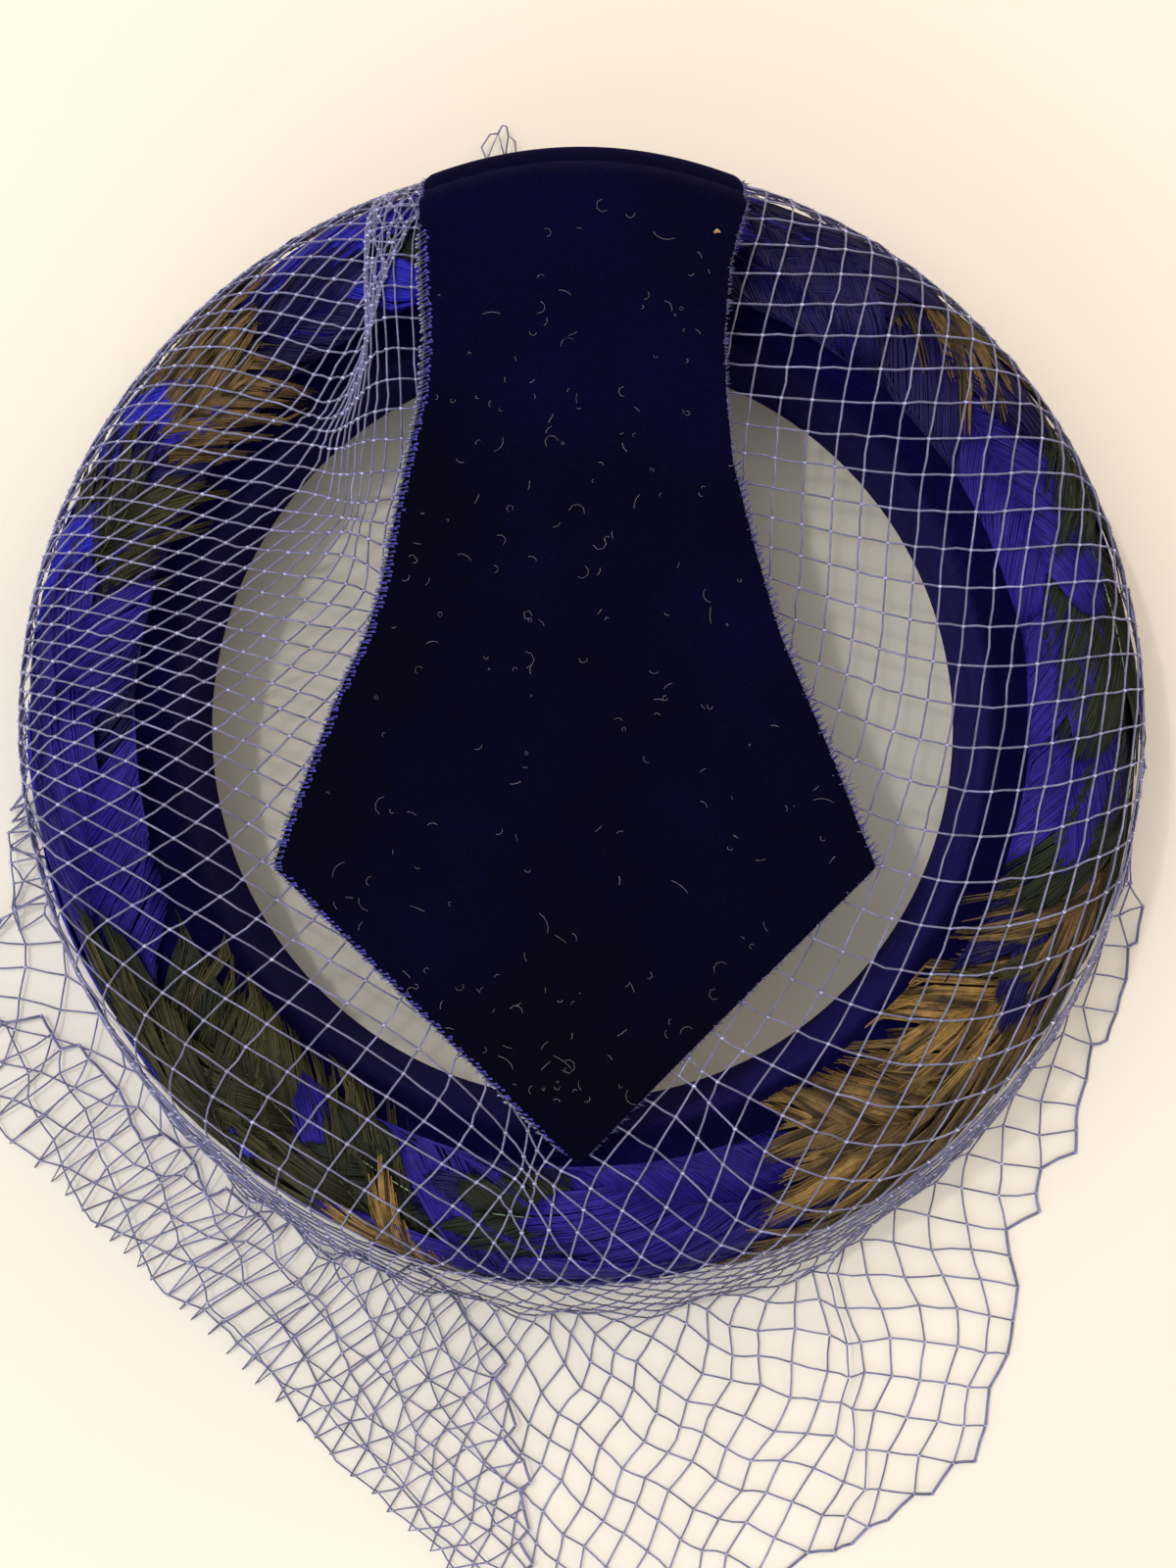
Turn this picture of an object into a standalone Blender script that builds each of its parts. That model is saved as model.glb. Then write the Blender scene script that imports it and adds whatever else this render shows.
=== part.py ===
"""Cocktail hat: a hollow velvet ring with a wreath of feathers, a net veil and a velvet tab folded over its back.

The hat lies on its flat rim with the front of the hat towards -Y and +Z up, in metres. The ring is laid out
round its own centre, and the whole hat is then shifted so that the middle of its footprint is the origin.
"""

import math
from collections import namedtuple

import bmesh
import bpy
from mathutils import Matrix, Vector

# Ring: a hollow wall with a vertical inside, a round top and a flaring outside, open below
OPENING_RADIUS = 0.0665
RING_HEIGHT = 0.045
ROLL_RADIUS = 0.0100
FLARE_DEG = 13.0
RING_WALL = 0.0025
RING_SECTORS = 48
ROLL_ROWS = 4
WALL_ROWS = 4
INNER_ROWS = 3

# Feathers: curved blades that overlap round the ring, each rising over the next one
FEATHER_COUNT = 20
FEATHER_FIRST_DEG = 78.0
FEATHER_SWEEP_DEG = 34.0
FEATHER_HALF_WIDTH = 0.0235
FEATHER_THICKNESS = 0.0005
FEATHER_GAP = 0.0007
FEATHER_SEAT = 0.0004
FEATHER_HEEL_SHARE = 0.45
FEATHER_TIP_SHARE = 0.4
FEATHER_FOOT_CLEARANCE = 0.0016
FEATHER_COLUMNS = 5

# Veil: a square net hung over the hat, with its mesh turned against the front of the hat
NET_SPACING = 0.0252
NET_TURN_DEG = -18.0
NET_STRAND_WIDTH = 0.0015
NET_STRAND_THICKNESS = 0.0012
NET_SAG = 0.0045
NET_CLEARANCE = 0.0018
NET_FLOOR_CLEARANCE = 0.0002
NET_FOOT_SIDE = 0.0035
NET_FOOT_FRONT = 0.015
NET_EDGE_SIDE = 0.0015
NET_EDGE_FRONT = 0.046
NET_SPREAD_POWER = 6.5

# Tab: two layers of velvet, folded over the back of the ring
TAB_THICKNESS = 0.0026
TAB_NECK_WIDTH = 0.047
TAB_WIDEST = 0.0935
TAB_TIP_HALF_WIDTH = 0.0012
TAB_WIDEST_SHARE = 0.71
TAB_FLARE_POWER = 2.3
TAB_LENGTH = 0.157
TAB_FOLD_RISE = 0.0045
TAB_FOLD_RADIUS = 0.0065
TAB_FOLD_END_DEG = 105.0
TAB_LEAN_DEG = 18.0
TAB_SETTLE_SHARE = 0.30
TAB_TAIL_LIFT = 0.012
TAB_SAG = 0.0015
TAB_CLEARANCE = 0.0005
TAB_TAIL_ROWS = 3
TAB_FOLD_ROWS = 5
TAB_ROWS = 12
TAB_COLUMNS = 6

# Dents and corners in the outline of the ring: how far the outer wall is pushed out, and over what angle
Dent = namedtuple("Dent", "azimuth_deg push spread_deg")
RING_DENTS = (
    Dent(azimuth_deg=151.0, push=-0.0030, spread_deg=20.0),
    Dent(azimuth_deg=73.0, push=-0.0020, spread_deg=16.0),
    Dent(azimuth_deg=258.0, push=0.0018, spread_deg=18.0),
    Dent(azimuth_deg=297.0, push=0.0014, spread_deg=18.0),
)

# Standing folds in the part of the veil that lies in front, and the bulge of its left side
Fold = namedtuple("Fold", "azimuth_deg height spread_deg")
VEIL_FOLDS = (
    Fold(azimuth_deg=303.0, height=0.0080, spread_deg=4.5),
    Fold(azimuth_deg=283.0, height=0.0030, spread_deg=5.0),
    Fold(azimuth_deg=256.0, height=0.0050, spread_deg=5.0),
    Fold(azimuth_deg=236.0, height=0.0070, spread_deg=5.5),
    Fold(azimuth_deg=216.0, height=0.0040, spread_deg=5.0),
)
VEIL_BULGE = Dent(azimuth_deg=214.0, push=0.008, spread_deg=22.0)

# Feathers clockwise from the right edge of the tab: plumage, shares of the common width and sweep, and the row
# of the outer slope, counted from the crest, that the tip reaches
Plume = namedtuple("Plume", "plumage width sweep tip_row")
PLUMES = (
    Plume("brown", 0.92, 0.95, 1),
    Plume("brown", 0.95, 1.00, 2),
    Plume("blue", 1.00, 1.10, 1),
    Plume("olive", 0.95, 1.00, 2),
    Plume("brown", 0.96, 0.95, 1),
    Plume("brown", 1.00, 1.00, 1),
    Plume("brown", 1.00, 1.05, 1),
    Plume("navy", 0.98, 1.00, 2),
    Plume("blue", 1.00, 1.10, 1),
    Plume("blue", 1.00, 1.10, 2),
    Plume("olive", 0.95, 1.00, 1),
    Plume("olive", 1.00, 1.05, 1),
    Plume("blue", 1.00, 1.00, 1),
    Plume("blue", 1.00, 1.10, 2),
    Plume("blue", 1.00, 1.05, 1),
    Plume("olive", 0.95, 0.95, 2),
    Plume("brown", 0.92, 1.00, 1),
    Plume("blue", 1.00, 1.05, 1),
    Plume("blue", 1.00, 1.00, 2),
    Plume("navy", 0.95, 0.95, 1),
)

FLARE = math.radians(FLARE_DEG)
ROLL_HEIGHT = RING_HEIGHT - ROLL_RADIUS
ROLL_CENTRE = OPENING_RADIUS + ROLL_RADIUS
OUTER_ROLL = ROLL_RADIUS * (math.pi / 2 - FLARE)
OUTER_WALL = (ROLL_HEIGHT + ROLL_RADIUS * math.sin(FLARE)) / math.cos(FLARE)
OUTER_LENGTH = OUTER_ROLL + OUTER_WALL
FOOT_RADIUS = ROLL_CENTRE + ROLL_RADIUS * math.cos(FLARE) + OUTER_WALL * math.sin(FLARE)
FEATHER_PITCH = 2 * math.pi / FEATHER_COUNT
FEATHER_CLIMB = (FEATHER_THICKNESS + FEATHER_GAP) / FEATHER_PITCH
FEATHER_RADIUS = (ROLL_CENTRE + FOOT_RADIUS) / 2
FRONT_DEG = 270.0
BACK = math.radians(90.0)


def bell(azimuth, centre_deg, spread_deg):
    """How strongly something centred on one azimuth acts at another, from 0 to 1."""
    apart = math.atan2(math.sin(azimuth - math.radians(centre_deg)), math.cos(azimuth - math.radians(centre_deg)))
    return math.exp(-((apart / math.radians(spread_deg)) ** 2))


def ease(share):
    """A smooth step from 0 to 1."""
    share = min(max(share, 0.0), 1.0)
    return share * share * (3 - 2 * share)


def ring_section(along):
    """Radius, height and outward direction on the outer slope, at a distance along it from the crest."""
    if along <= OUTER_ROLL:
        turn = along / ROLL_RADIUS
        normal = (math.sin(turn), math.cos(turn))
        return ROLL_CENTRE + ROLL_RADIUS * normal[0], ROLL_HEIGHT + ROLL_RADIUS * normal[1], normal
    down = along - OUTER_ROLL
    normal = (math.cos(FLARE), math.sin(FLARE))
    radius = ROLL_CENTRE + ROLL_RADIUS * normal[0] + down * math.sin(FLARE)
    return radius, ROLL_HEIGHT + ROLL_RADIUS * normal[1] - down * math.cos(FLARE), normal


def ring_push(azimuth, along):
    """How far the ring's dents move a point of the outer slope outwards."""
    pushed = sum(dent.push * bell(azimuth, dent.azimuth_deg, dent.spread_deg) for dent in RING_DENTS)
    return pushed * ease(along / OUTER_LENGTH)


def on_slope(azimuth, along, lift):
    """A point of the outer slope, lifted off it."""
    radius, height, normal = ring_section(along)
    radius += ring_push(azimuth, along) + lift * normal[0]
    return Vector((radius * math.cos(azimuth), radius * math.sin(azimuth), height + lift * normal[1]))


def slope_stations():
    """Distances from the crest at which the ring and the feathers both have their rows, so that their facets match."""
    roll = [OUTER_ROLL * row / ROLL_ROWS for row in range(ROLL_ROWS + 1)]
    wall = [OUTER_ROLL + OUTER_WALL * row / WALL_ROWS for row in range(1, WALL_ROWS + 1)]
    return roll + wall


def skin_profile(lift):
    """Radius, height and distance from the crest, down the inner wall's side and the outer slope, lifted off them."""
    profile = [(OPENING_RADIUS - lift, 0.0, 0.0)]
    for row in range(INNER_ROWS):
        turn = math.pi / 2 * (1 - row / INNER_ROWS)
        radius = ROLL_CENTRE - (ROLL_RADIUS + lift) * math.sin(turn)
        profile.append((radius, ROLL_HEIGHT + (ROLL_RADIUS + lift) * math.cos(turn), 0.0))
    for along in slope_stations():
        radius, height, normal = ring_section(along)
        profile.append((radius + lift * normal[0], height + lift * normal[1], along))
    radius, height, along = profile[-1]
    profile[-1] = (radius + height * math.tan(FLARE), 0.0, along)
    return profile


def material(name, colour, roughness):
    """A plain material of one colour and roughness."""
    made = bpy.data.materials.new(name)
    made.use_nodes = True
    shader = made.node_tree.nodes["Principled BSDF"]
    shader.inputs["Base Color"].default_value = (*colour, 1.0)
    shader.inputs["Roughness"].default_value = roughness
    shader.inputs["Metallic"].default_value = 0.0
    return made


def add_object(name, mesh_bm, finish, parent):
    """Make a named object of a bmesh, with its faces pointing out, under a parent."""
    bmesh.ops.recalc_face_normals(mesh_bm, faces=mesh_bm.faces)
    mesh = bpy.data.meshes.new(name)
    mesh_bm.to_mesh(mesh)
    mesh_bm.free()
    mesh.materials.append(finish)
    mesh.shade_smooth()
    mesh.set_sharp_from_angle(angle=math.radians(40))
    made = bpy.data.objects.new(name, mesh)
    bpy.context.collection.objects.link(made)
    made.parent = parent
    return made


def build_ring(finish, parent):
    """The hollow ring: its outer skin, and its inner skin one wall further in, joined along both rims."""
    outer = skin_profile(0.0)
    inner = skin_profile(-RING_WALL)
    loop = outer + inner[::-1]
    mesh_bm = bmesh.new()
    rows = []
    for sector in range(RING_SECTORS):
        azimuth = 2 * math.pi * sector / RING_SECTORS
        row = []
        for radius, height, along in loop:
            pushed = radius + ring_push(azimuth, along)
            row.append(mesh_bm.verts.new((pushed * math.cos(azimuth), pushed * math.sin(azimuth), height)))
        rows.append(row)
    for sector, row in enumerate(rows):
        after = rows[(sector + 1) % RING_SECTORS]
        for index in range(len(loop)):
            beside = (index + 1) % len(loop)
            mesh_bm.faces.new((row[index], row[beside], after[beside], after[index]))
    return add_object("velvet_ring", mesh_bm, finish, parent)


def split_cell(rows, row, column):
    """The two triangles of a grid's cell, split across its shorter diagonal so that they keep to its curve."""
    near, right = (row, column), (row, column + 1)
    far, left = (row + 1, column + 1), (row + 1, column)
    down = (rows[row][column] - rows[row + 1][column + 1]).length
    up = (rows[row][column + 1] - rows[row + 1][column]).length
    if down < up:
        return (near, right, far), (near, far, left)
    return (near, right, left), (right, far, left)


def blade(rows, backs, name, finish, parent):
    """A closed thin solid between two grids of points of the same size."""
    mesh_bm = bmesh.new()
    front = [[mesh_bm.verts.new(point) for point in row] for row in rows]
    back = [[mesh_bm.verts.new(point) for point in row] for row in backs]
    last_row, last_column = len(rows) - 1, len(rows[0]) - 1
    for row in range(last_row):
        for column in range(last_column):
            for corners in split_cell(rows, row, column):
                mesh_bm.faces.new([front[r][c] for r, c in corners])
                mesh_bm.faces.new([back[r][c] for r, c in reversed(corners)])
    for row in range(last_row):
        for column, ends in ((0, (row + 1, row)), (last_column, (row, row + 1))):
            start, end = ends
            mesh_bm.faces.new((front[end][column], front[start][column], back[start][column], back[end][column]))
    for column in range(last_column):
        for row, ends in ((0, (column, column + 1)), (last_row, (column + 1, column))):
            start, end = ends
            mesh_bm.faces.new((front[row][end], front[row][start], back[row][start], back[row][end]))
    return add_object(name, mesh_bm, finish, parent)


def feather_lift(root, azimuth):
    """How far a feather's underside stands off the ring: it climbs over the roots of the feathers ahead of it."""
    behind = FEATHER_HEEL_SHARE * FEATHER_HALF_WIDTH / FEATHER_RADIUS
    return FEATHER_SEAT + FEATHER_CLIMB * (behind + root - azimuth)


def build_feather(number, plume, finish, parent):
    """One feather, from its foot low on the outer slope to its tip near the crest, swept clockwise."""
    root = math.radians(FEATHER_FIRST_DEG) - number * FEATHER_PITCH
    sweep = math.radians(FEATHER_SWEEP_DEG) * plume.sweep
    lowest = OUTER_LENGTH - FEATHER_FOOT_CLEARANCE
    stations = [*slope_stations()[plume.tip_row : -1], lowest]
    highest = stations[0]
    rows, backs = [], []
    for along in stations:
        share = (lowest - along) / (lowest - highest)
        middle = root - sweep * share
        fullness = math.sin(math.pi * (0.10 + 0.84 * share)) ** 0.75
        half = FEATHER_HALF_WIDTH * plume.width * fullness / FEATHER_RADIUS
        row, back = [], []
        for column in range(FEATHER_COLUMNS + 1):
            azimuth = middle + half * (1 - 2 * column / FEATHER_COLUMNS)
            lift = feather_lift(root, azimuth)
            row.append(on_slope(azimuth, along, lift + FEATHER_THICKNESS))
            back.append(on_slope(azimuth, along, lift))
        rows.append(row)
        backs.append(back)
    return blade(rows, backs, f"feather_{number + 1:02d}", finish, parent)


def feather_pile():
    """The greatest height of the feathers' upper sides over the ring."""
    longest = max(plume.sweep for plume in PLUMES) * math.radians(FEATHER_SWEEP_DEG)
    tip_half_width = FEATHER_TIP_SHARE * FEATHER_HALF_WIDTH / FEATHER_RADIUS
    return feather_lift(longest + tip_half_width, 0.0) + FEATHER_THICKNESS


def spread(azimuth):
    """How far the veil is drawn out towards the front, from 0 behind to 1 in front."""
    return ((1 + math.cos(azimuth - math.radians(FRONT_DEG))) / 2) ** NET_SPREAD_POWER


def veil_lift():
    """How far the middle of the net's strands lies off the ring, over the feathers."""
    return feather_pile() + NET_CLEARANCE + NET_STRAND_THICKNESS / 2


def veil_top():
    """The height of the middle of the net over the ring's crest."""
    return RING_HEIGHT + veil_lift()


def veil_height(radius):
    """The height of the net over the opening."""
    return veil_top() - NET_SAG * (1 - (radius / ROLL_CENTRE) ** 2)


def veil_foot(azimuth):
    """Where the veil meets the surface, as a radius."""
    return FOOT_RADIUS + veil_lift() + NET_FOOT_SIDE + NET_FOOT_FRONT * spread(azimuth)


def veil_side(azimuth, height):
    """The radius of the veil at a height beside the hat, where it hangs clear of the outer slope."""
    top = on_slope(azimuth, OUTER_ROLL, veil_lift())
    start = math.hypot(top.x, top.y)
    down = max(top.z - height, 0.0) / top.z
    hugging = (top.z - max(height, 0.0)) * math.tan(FLARE)
    return start + hugging + (veil_foot(azimuth) - start - top.z * math.tan(FLARE)) * down**2


def veil_profile(azimuth):
    """Radius and height of the veil from the centre of the opening to its foot, in one direction."""
    profile = [(ROLL_CENTRE * share / 4, veil_height(ROLL_CENTRE * share / 4)) for share in range(5)]
    steps = 5
    for index in range(1, steps + 1):
        along = OUTER_ROLL * index / steps
        point = on_slope(azimuth, along, veil_lift())
        profile.append((math.hypot(point.x, point.y), point.z))
    start_height = profile[-1][1]
    floor = NET_FLOOR_CLEARANCE + NET_STRAND_THICKNESS / 2
    for index in range(1, steps + 1):
        height = start_height + (floor - start_height) * index / steps
        profile.append((veil_side(azimuth, height), height))
    return profile


def veil_point(across, ahead):
    """Where a point of the flat net lies when the net is hung over the hat, its middle over the opening."""
    azimuth = math.atan2(ahead, across)
    left = math.hypot(across, ahead)
    profile = veil_profile(azimuth)
    for start, end in zip(profile, profile[1:]):
        piece = math.dist(start, end)
        if left <= piece:
            share = left / piece
            radius = start[0] + (end[0] - start[0]) * share
            height = start[1] + (end[1] - start[1]) * share
            return Vector((radius * math.cos(azimuth), radius * math.sin(azimuth), height))
        left -= piece
    radius, height = profile[-1]
    past = ease(left / NET_FOOT_FRONT)
    height += past * sum(fold.height * bell(azimuth, fold.azimuth_deg, fold.spread_deg) for fold in VEIL_FOLDS)
    radius += left
    return Vector((radius * math.cos(azimuth), radius * math.sin(azimuth), height))


def veil_reach(azimuth):
    """How far from its middle the flat net reaches, in one direction."""
    profile = veil_profile(azimuth)
    hung = sum(math.dist(start, end) for start, end in zip(profile, profile[1:]))
    bulge = VEIL_BULGE.push * bell(azimuth, VEIL_BULGE.azimuth_deg, VEIL_BULGE.spread_deg)
    return hung + NET_EDGE_SIDE + bulge + NET_EDGE_FRONT * spread(azimuth)


def net_cells():
    """The squares of the net, counted along and across it, that lie inside its edge."""
    turn = Matrix.Rotation(math.radians(NET_TURN_DEG), 2)
    far = round(2 * veil_reach(math.radians(FRONT_DEG)) / NET_SPACING)
    cells = set()
    for column in range(-far, far):
        for row in range(-far, far):
            middle = turn @ (Vector((column + 0.5, row + 0.5)) * NET_SPACING)
            azimuth = math.atan2(middle.y, middle.x)
            if middle.length < veil_reach(azimuth) - 0.25 * NET_SPACING:
                cells.add((column, row))
    return cells


def build_veil(finish, parent):
    """The net: strips of strand along each square's sides, hung over the hat and given their thickness."""
    turn = Matrix.Rotation(math.radians(NET_TURN_DEG), 2)
    offsets = (-NET_STRAND_WIDTH / 2, NET_STRAND_WIDTH / 2, NET_SPACING / 2)

    def place(station):
        line, part = divmod(station, 3)
        return line * NET_SPACING + offsets[part]

    strips = set()
    for column, row in net_cells():
        for a in range(4):
            for b in range(4):
                if a in (0, 3) or b in (0, 3):
                    strips.add((3 * column + a, 3 * row + b))
    mesh_bm = bmesh.new()
    knots = {}
    for strip in sorted(strips):
        corners = []
        for step in ((0, 0), (1, 0), (1, 1), (0, 1)):
            station = (strip[0] + step[0], strip[1] + step[1])
            if station not in knots:
                flat = turn @ Vector((place(station[0]), place(station[1])))
                knots[station] = mesh_bm.verts.new(veil_point(flat.x, flat.y))
            corners.append(knots[station])
        mesh_bm.faces.new(corners)
    veil = add_object("veil", mesh_bm, finish, parent)
    thickness = veil.modifiers.new("strand thickness", "SOLIDIFY")
    thickness.thickness = NET_STRAND_THICKNESS
    thickness.offset = 0.0
    return veil


def tab_path():
    """The middle line of the tab in the plane of symmetry, from its hidden end to its tip, and where its fold is."""
    outside = NET_STRAND_THICKNESS / 2 + TAB_CLEARANCE + TAB_THICKNESS / 2
    rest = veil_top() + outside
    path = []
    for row in range(TAB_TAIL_ROWS + 1):
        height = TAB_TAIL_LIFT + (ROLL_HEIGHT - TAB_TAIL_LIFT) * row / TAB_TAIL_ROWS
        path.append(Vector((0.0, veil_side(BACK, height) + outside, height)))
    lean = math.radians(TAB_LEAN_DEG)
    fold_height = rest + TAB_FOLD_RISE - TAB_FOLD_RADIUS
    fold_y = path[-1].y - (fold_height - ROLL_HEIGHT) * math.tan(lean) - TAB_FOLD_RADIUS * math.cos(lean)
    for row in range(TAB_FOLD_ROWS + 1):
        turn = lean + (math.radians(TAB_FOLD_END_DEG) - lean) * row / TAB_FOLD_ROWS
        arm = Vector((0.0, math.cos(turn), math.sin(turn))) * TAB_FOLD_RADIUS
        path.append(Vector((0.0, fold_y, fold_height)) + arm)
    fold = max(range(len(path)), key=lambda index: path[index].z)
    start = path[-1]
    end_y = path[fold].y - TAB_LENGTH
    for row in range(1, TAB_ROWS + 1):
        share = row / TAB_ROWS
        y = start.y + (end_y - start.y) * share
        settle = (start.z - rest) * (1 - ease(share / TAB_SETTLE_SHARE))
        path.append(Vector((0.0, y, rest + settle - TAB_SAG * math.sin(math.pi * share))))
    return path, fold


def tab_half_width(share):
    """Half the width of the tab at a share of its length from the fold to the tip."""
    if share <= TAB_WIDEST_SHARE:
        grown = max(share, 0.0) / TAB_WIDEST_SHARE
        return (TAB_NECK_WIDTH + (TAB_WIDEST - TAB_NECK_WIDTH) * grown**TAB_FLARE_POWER) / 2
    return TAB_WIDEST / 2 * (1 - share) / (1 - TAB_WIDEST_SHARE)


def build_tab(finish, parent):
    """The tab: rows of points across its path, half its thickness to either side."""
    path, fold = tab_path()
    tip = len(path) - 1
    rows, backs = [], []
    for index, point in enumerate(path):
        ahead = path[min(index + 1, tip)] - path[max(index - 1, 0)]
        normal = Vector((0.0, -ahead.z, ahead.y)).normalized() * (-TAB_THICKNESS / 2)
        share = (path[fold].y - point.y) / TAB_LENGTH if index > fold else 0.0
        half = max(tab_half_width(share), TAB_TIP_HALF_WIDTH)
        bow = (1 - ease(share / TAB_SETTLE_SHARE)) / (2 * veil_side(BACK, ROLL_HEIGHT))
        row, back = [], []
        for column in range(TAB_COLUMNS + 1):
            x = half * (1 - 2 * column / TAB_COLUMNS)
            across = Vector((x, -bow * x**2, 0.0))
            row.append(point + across + normal)
            back.append(point + across - normal)
        rows.append(row)
        backs.append(back)
    return blade(rows, backs, "velvet_tab", finish, parent)


def centre_on_footprint(holder):
    """Shift the whole hat so that the middle of its box, at its base, is the origin."""
    bpy.context.view_layer.update()
    graph = bpy.context.evaluated_depsgraph_get()
    points = []
    for made in holder.children:
        shown = made.evaluated_get(graph)
        points.extend(made.matrix_world @ vertex.co for vertex in shown.data.vertices)
    low = Vector([min(point[axis] for point in points) for axis in range(3)])
    high = Vector([max(point[axis] for point in points) for axis in range(3)])
    holder.location = Vector((-(low.x + high.x) / 2, -(low.y + high.y) / 2, -low.z))
    bpy.context.view_layer.update()


def build_hat():
    """Every piece of the hat, under one empty at the ring's centre."""
    for old in list(bpy.data.objects):
        bpy.data.objects.remove(old, do_unlink=True)
    holder = bpy.data.objects.new("hat", None)
    bpy.context.collection.objects.link(holder)
    velvet = material("navy velvet", (0.010, 0.008, 0.060), 0.9)
    dark_velvet = material("dark navy velvet", (0.004, 0.004, 0.025), 0.95)
    net = material("periwinkle net", (0.30, 0.30, 0.62), 0.7)
    plumage = {
        "navy": material("navy feather", (0.016, 0.012, 0.110), 0.55),
        "blue": material("royal blue feather", (0.030, 0.035, 0.420), 0.5),
        "brown": material("brown feather", (0.140, 0.080, 0.032), 0.6),
        "olive": material("olive feather", (0.045, 0.050, 0.018), 0.6),
    }
    build_ring(velvet, holder)
    for number, plume in enumerate(PLUMES):
        build_feather(number, plume, plumage[plume.plumage], holder)
    build_veil(net, holder)
    build_tab(dark_velvet, holder)
    centre_on_footprint(holder)


build_hat()
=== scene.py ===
"""Dresses the cocktail hat: velvet ring and tab, barbed feathers, and a net veil draped over them."""

import logging
import math
from collections.abc import Callable
from dataclasses import dataclass, field
from enum import Enum

import bpy
import numpy as np
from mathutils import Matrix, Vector


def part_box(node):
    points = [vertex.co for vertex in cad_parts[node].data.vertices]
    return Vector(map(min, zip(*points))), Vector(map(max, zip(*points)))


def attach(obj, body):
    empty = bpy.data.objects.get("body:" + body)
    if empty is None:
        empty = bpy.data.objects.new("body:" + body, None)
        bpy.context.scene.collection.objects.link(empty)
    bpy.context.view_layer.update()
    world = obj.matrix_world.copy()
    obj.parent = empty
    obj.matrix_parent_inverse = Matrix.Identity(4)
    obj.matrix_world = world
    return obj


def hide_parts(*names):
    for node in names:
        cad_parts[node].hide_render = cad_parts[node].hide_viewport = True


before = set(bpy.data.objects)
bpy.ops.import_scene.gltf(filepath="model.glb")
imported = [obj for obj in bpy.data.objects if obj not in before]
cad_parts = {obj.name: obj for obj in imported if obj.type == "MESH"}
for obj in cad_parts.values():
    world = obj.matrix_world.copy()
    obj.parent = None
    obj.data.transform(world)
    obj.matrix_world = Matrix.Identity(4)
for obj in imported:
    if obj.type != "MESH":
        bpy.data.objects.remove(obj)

log = logging.getLogger("cocktail hat")
Array = np.ndarray
Colour = tuple[float, float, float]
Socket = bpy.types.NodeSocket
# The record's slot for each feather, clockwise from the right edge of the tab
SLOTS = (
    "brown brown blue olive brown brown brown navy blue blue "
    "olive olive blue blue blue olive brown blue blue navy"
).split()
# Corners of a wrapped grid that are nearer than this are one corner
MERGE_DISTANCE = 2e-5


def select_nothing() -> None:
    """Deselect every object, the frame's own nodes too."""
    bpy.ops.object.select_all(action="DESELECT")


def smooth_step(share: Array) -> Array:
    """A smooth step from 0 to 1, at shares of the way along it."""
    share = np.clip(share, 0.0, 1.0)
    return share * share * (3 - 2 * share)


def bell(azimuth: Array, centre_deg: float, spread_deg: float) -> Array:
    """How strongly something centred on one azimuth acts at others.

    Args:
        azimuth: angles round the ring, in radians.
        centre_deg: the azimuth that it is centred on.
        spread_deg: the angle over which it fades.

    Returns:
        Weights from 0 to 1.
    """
    apart = azimuth - math.radians(centre_deg)
    apart = np.arctan2(np.sin(apart), np.cos(apart))
    return np.exp(-((apart / math.radians(spread_deg)) ** 2))


@dataclass(frozen=True)
class Dent:
    """A place where the ring's outer wall is pushed out or in."""

    azimuth_deg: float
    push: float
    spread_deg: float


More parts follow.
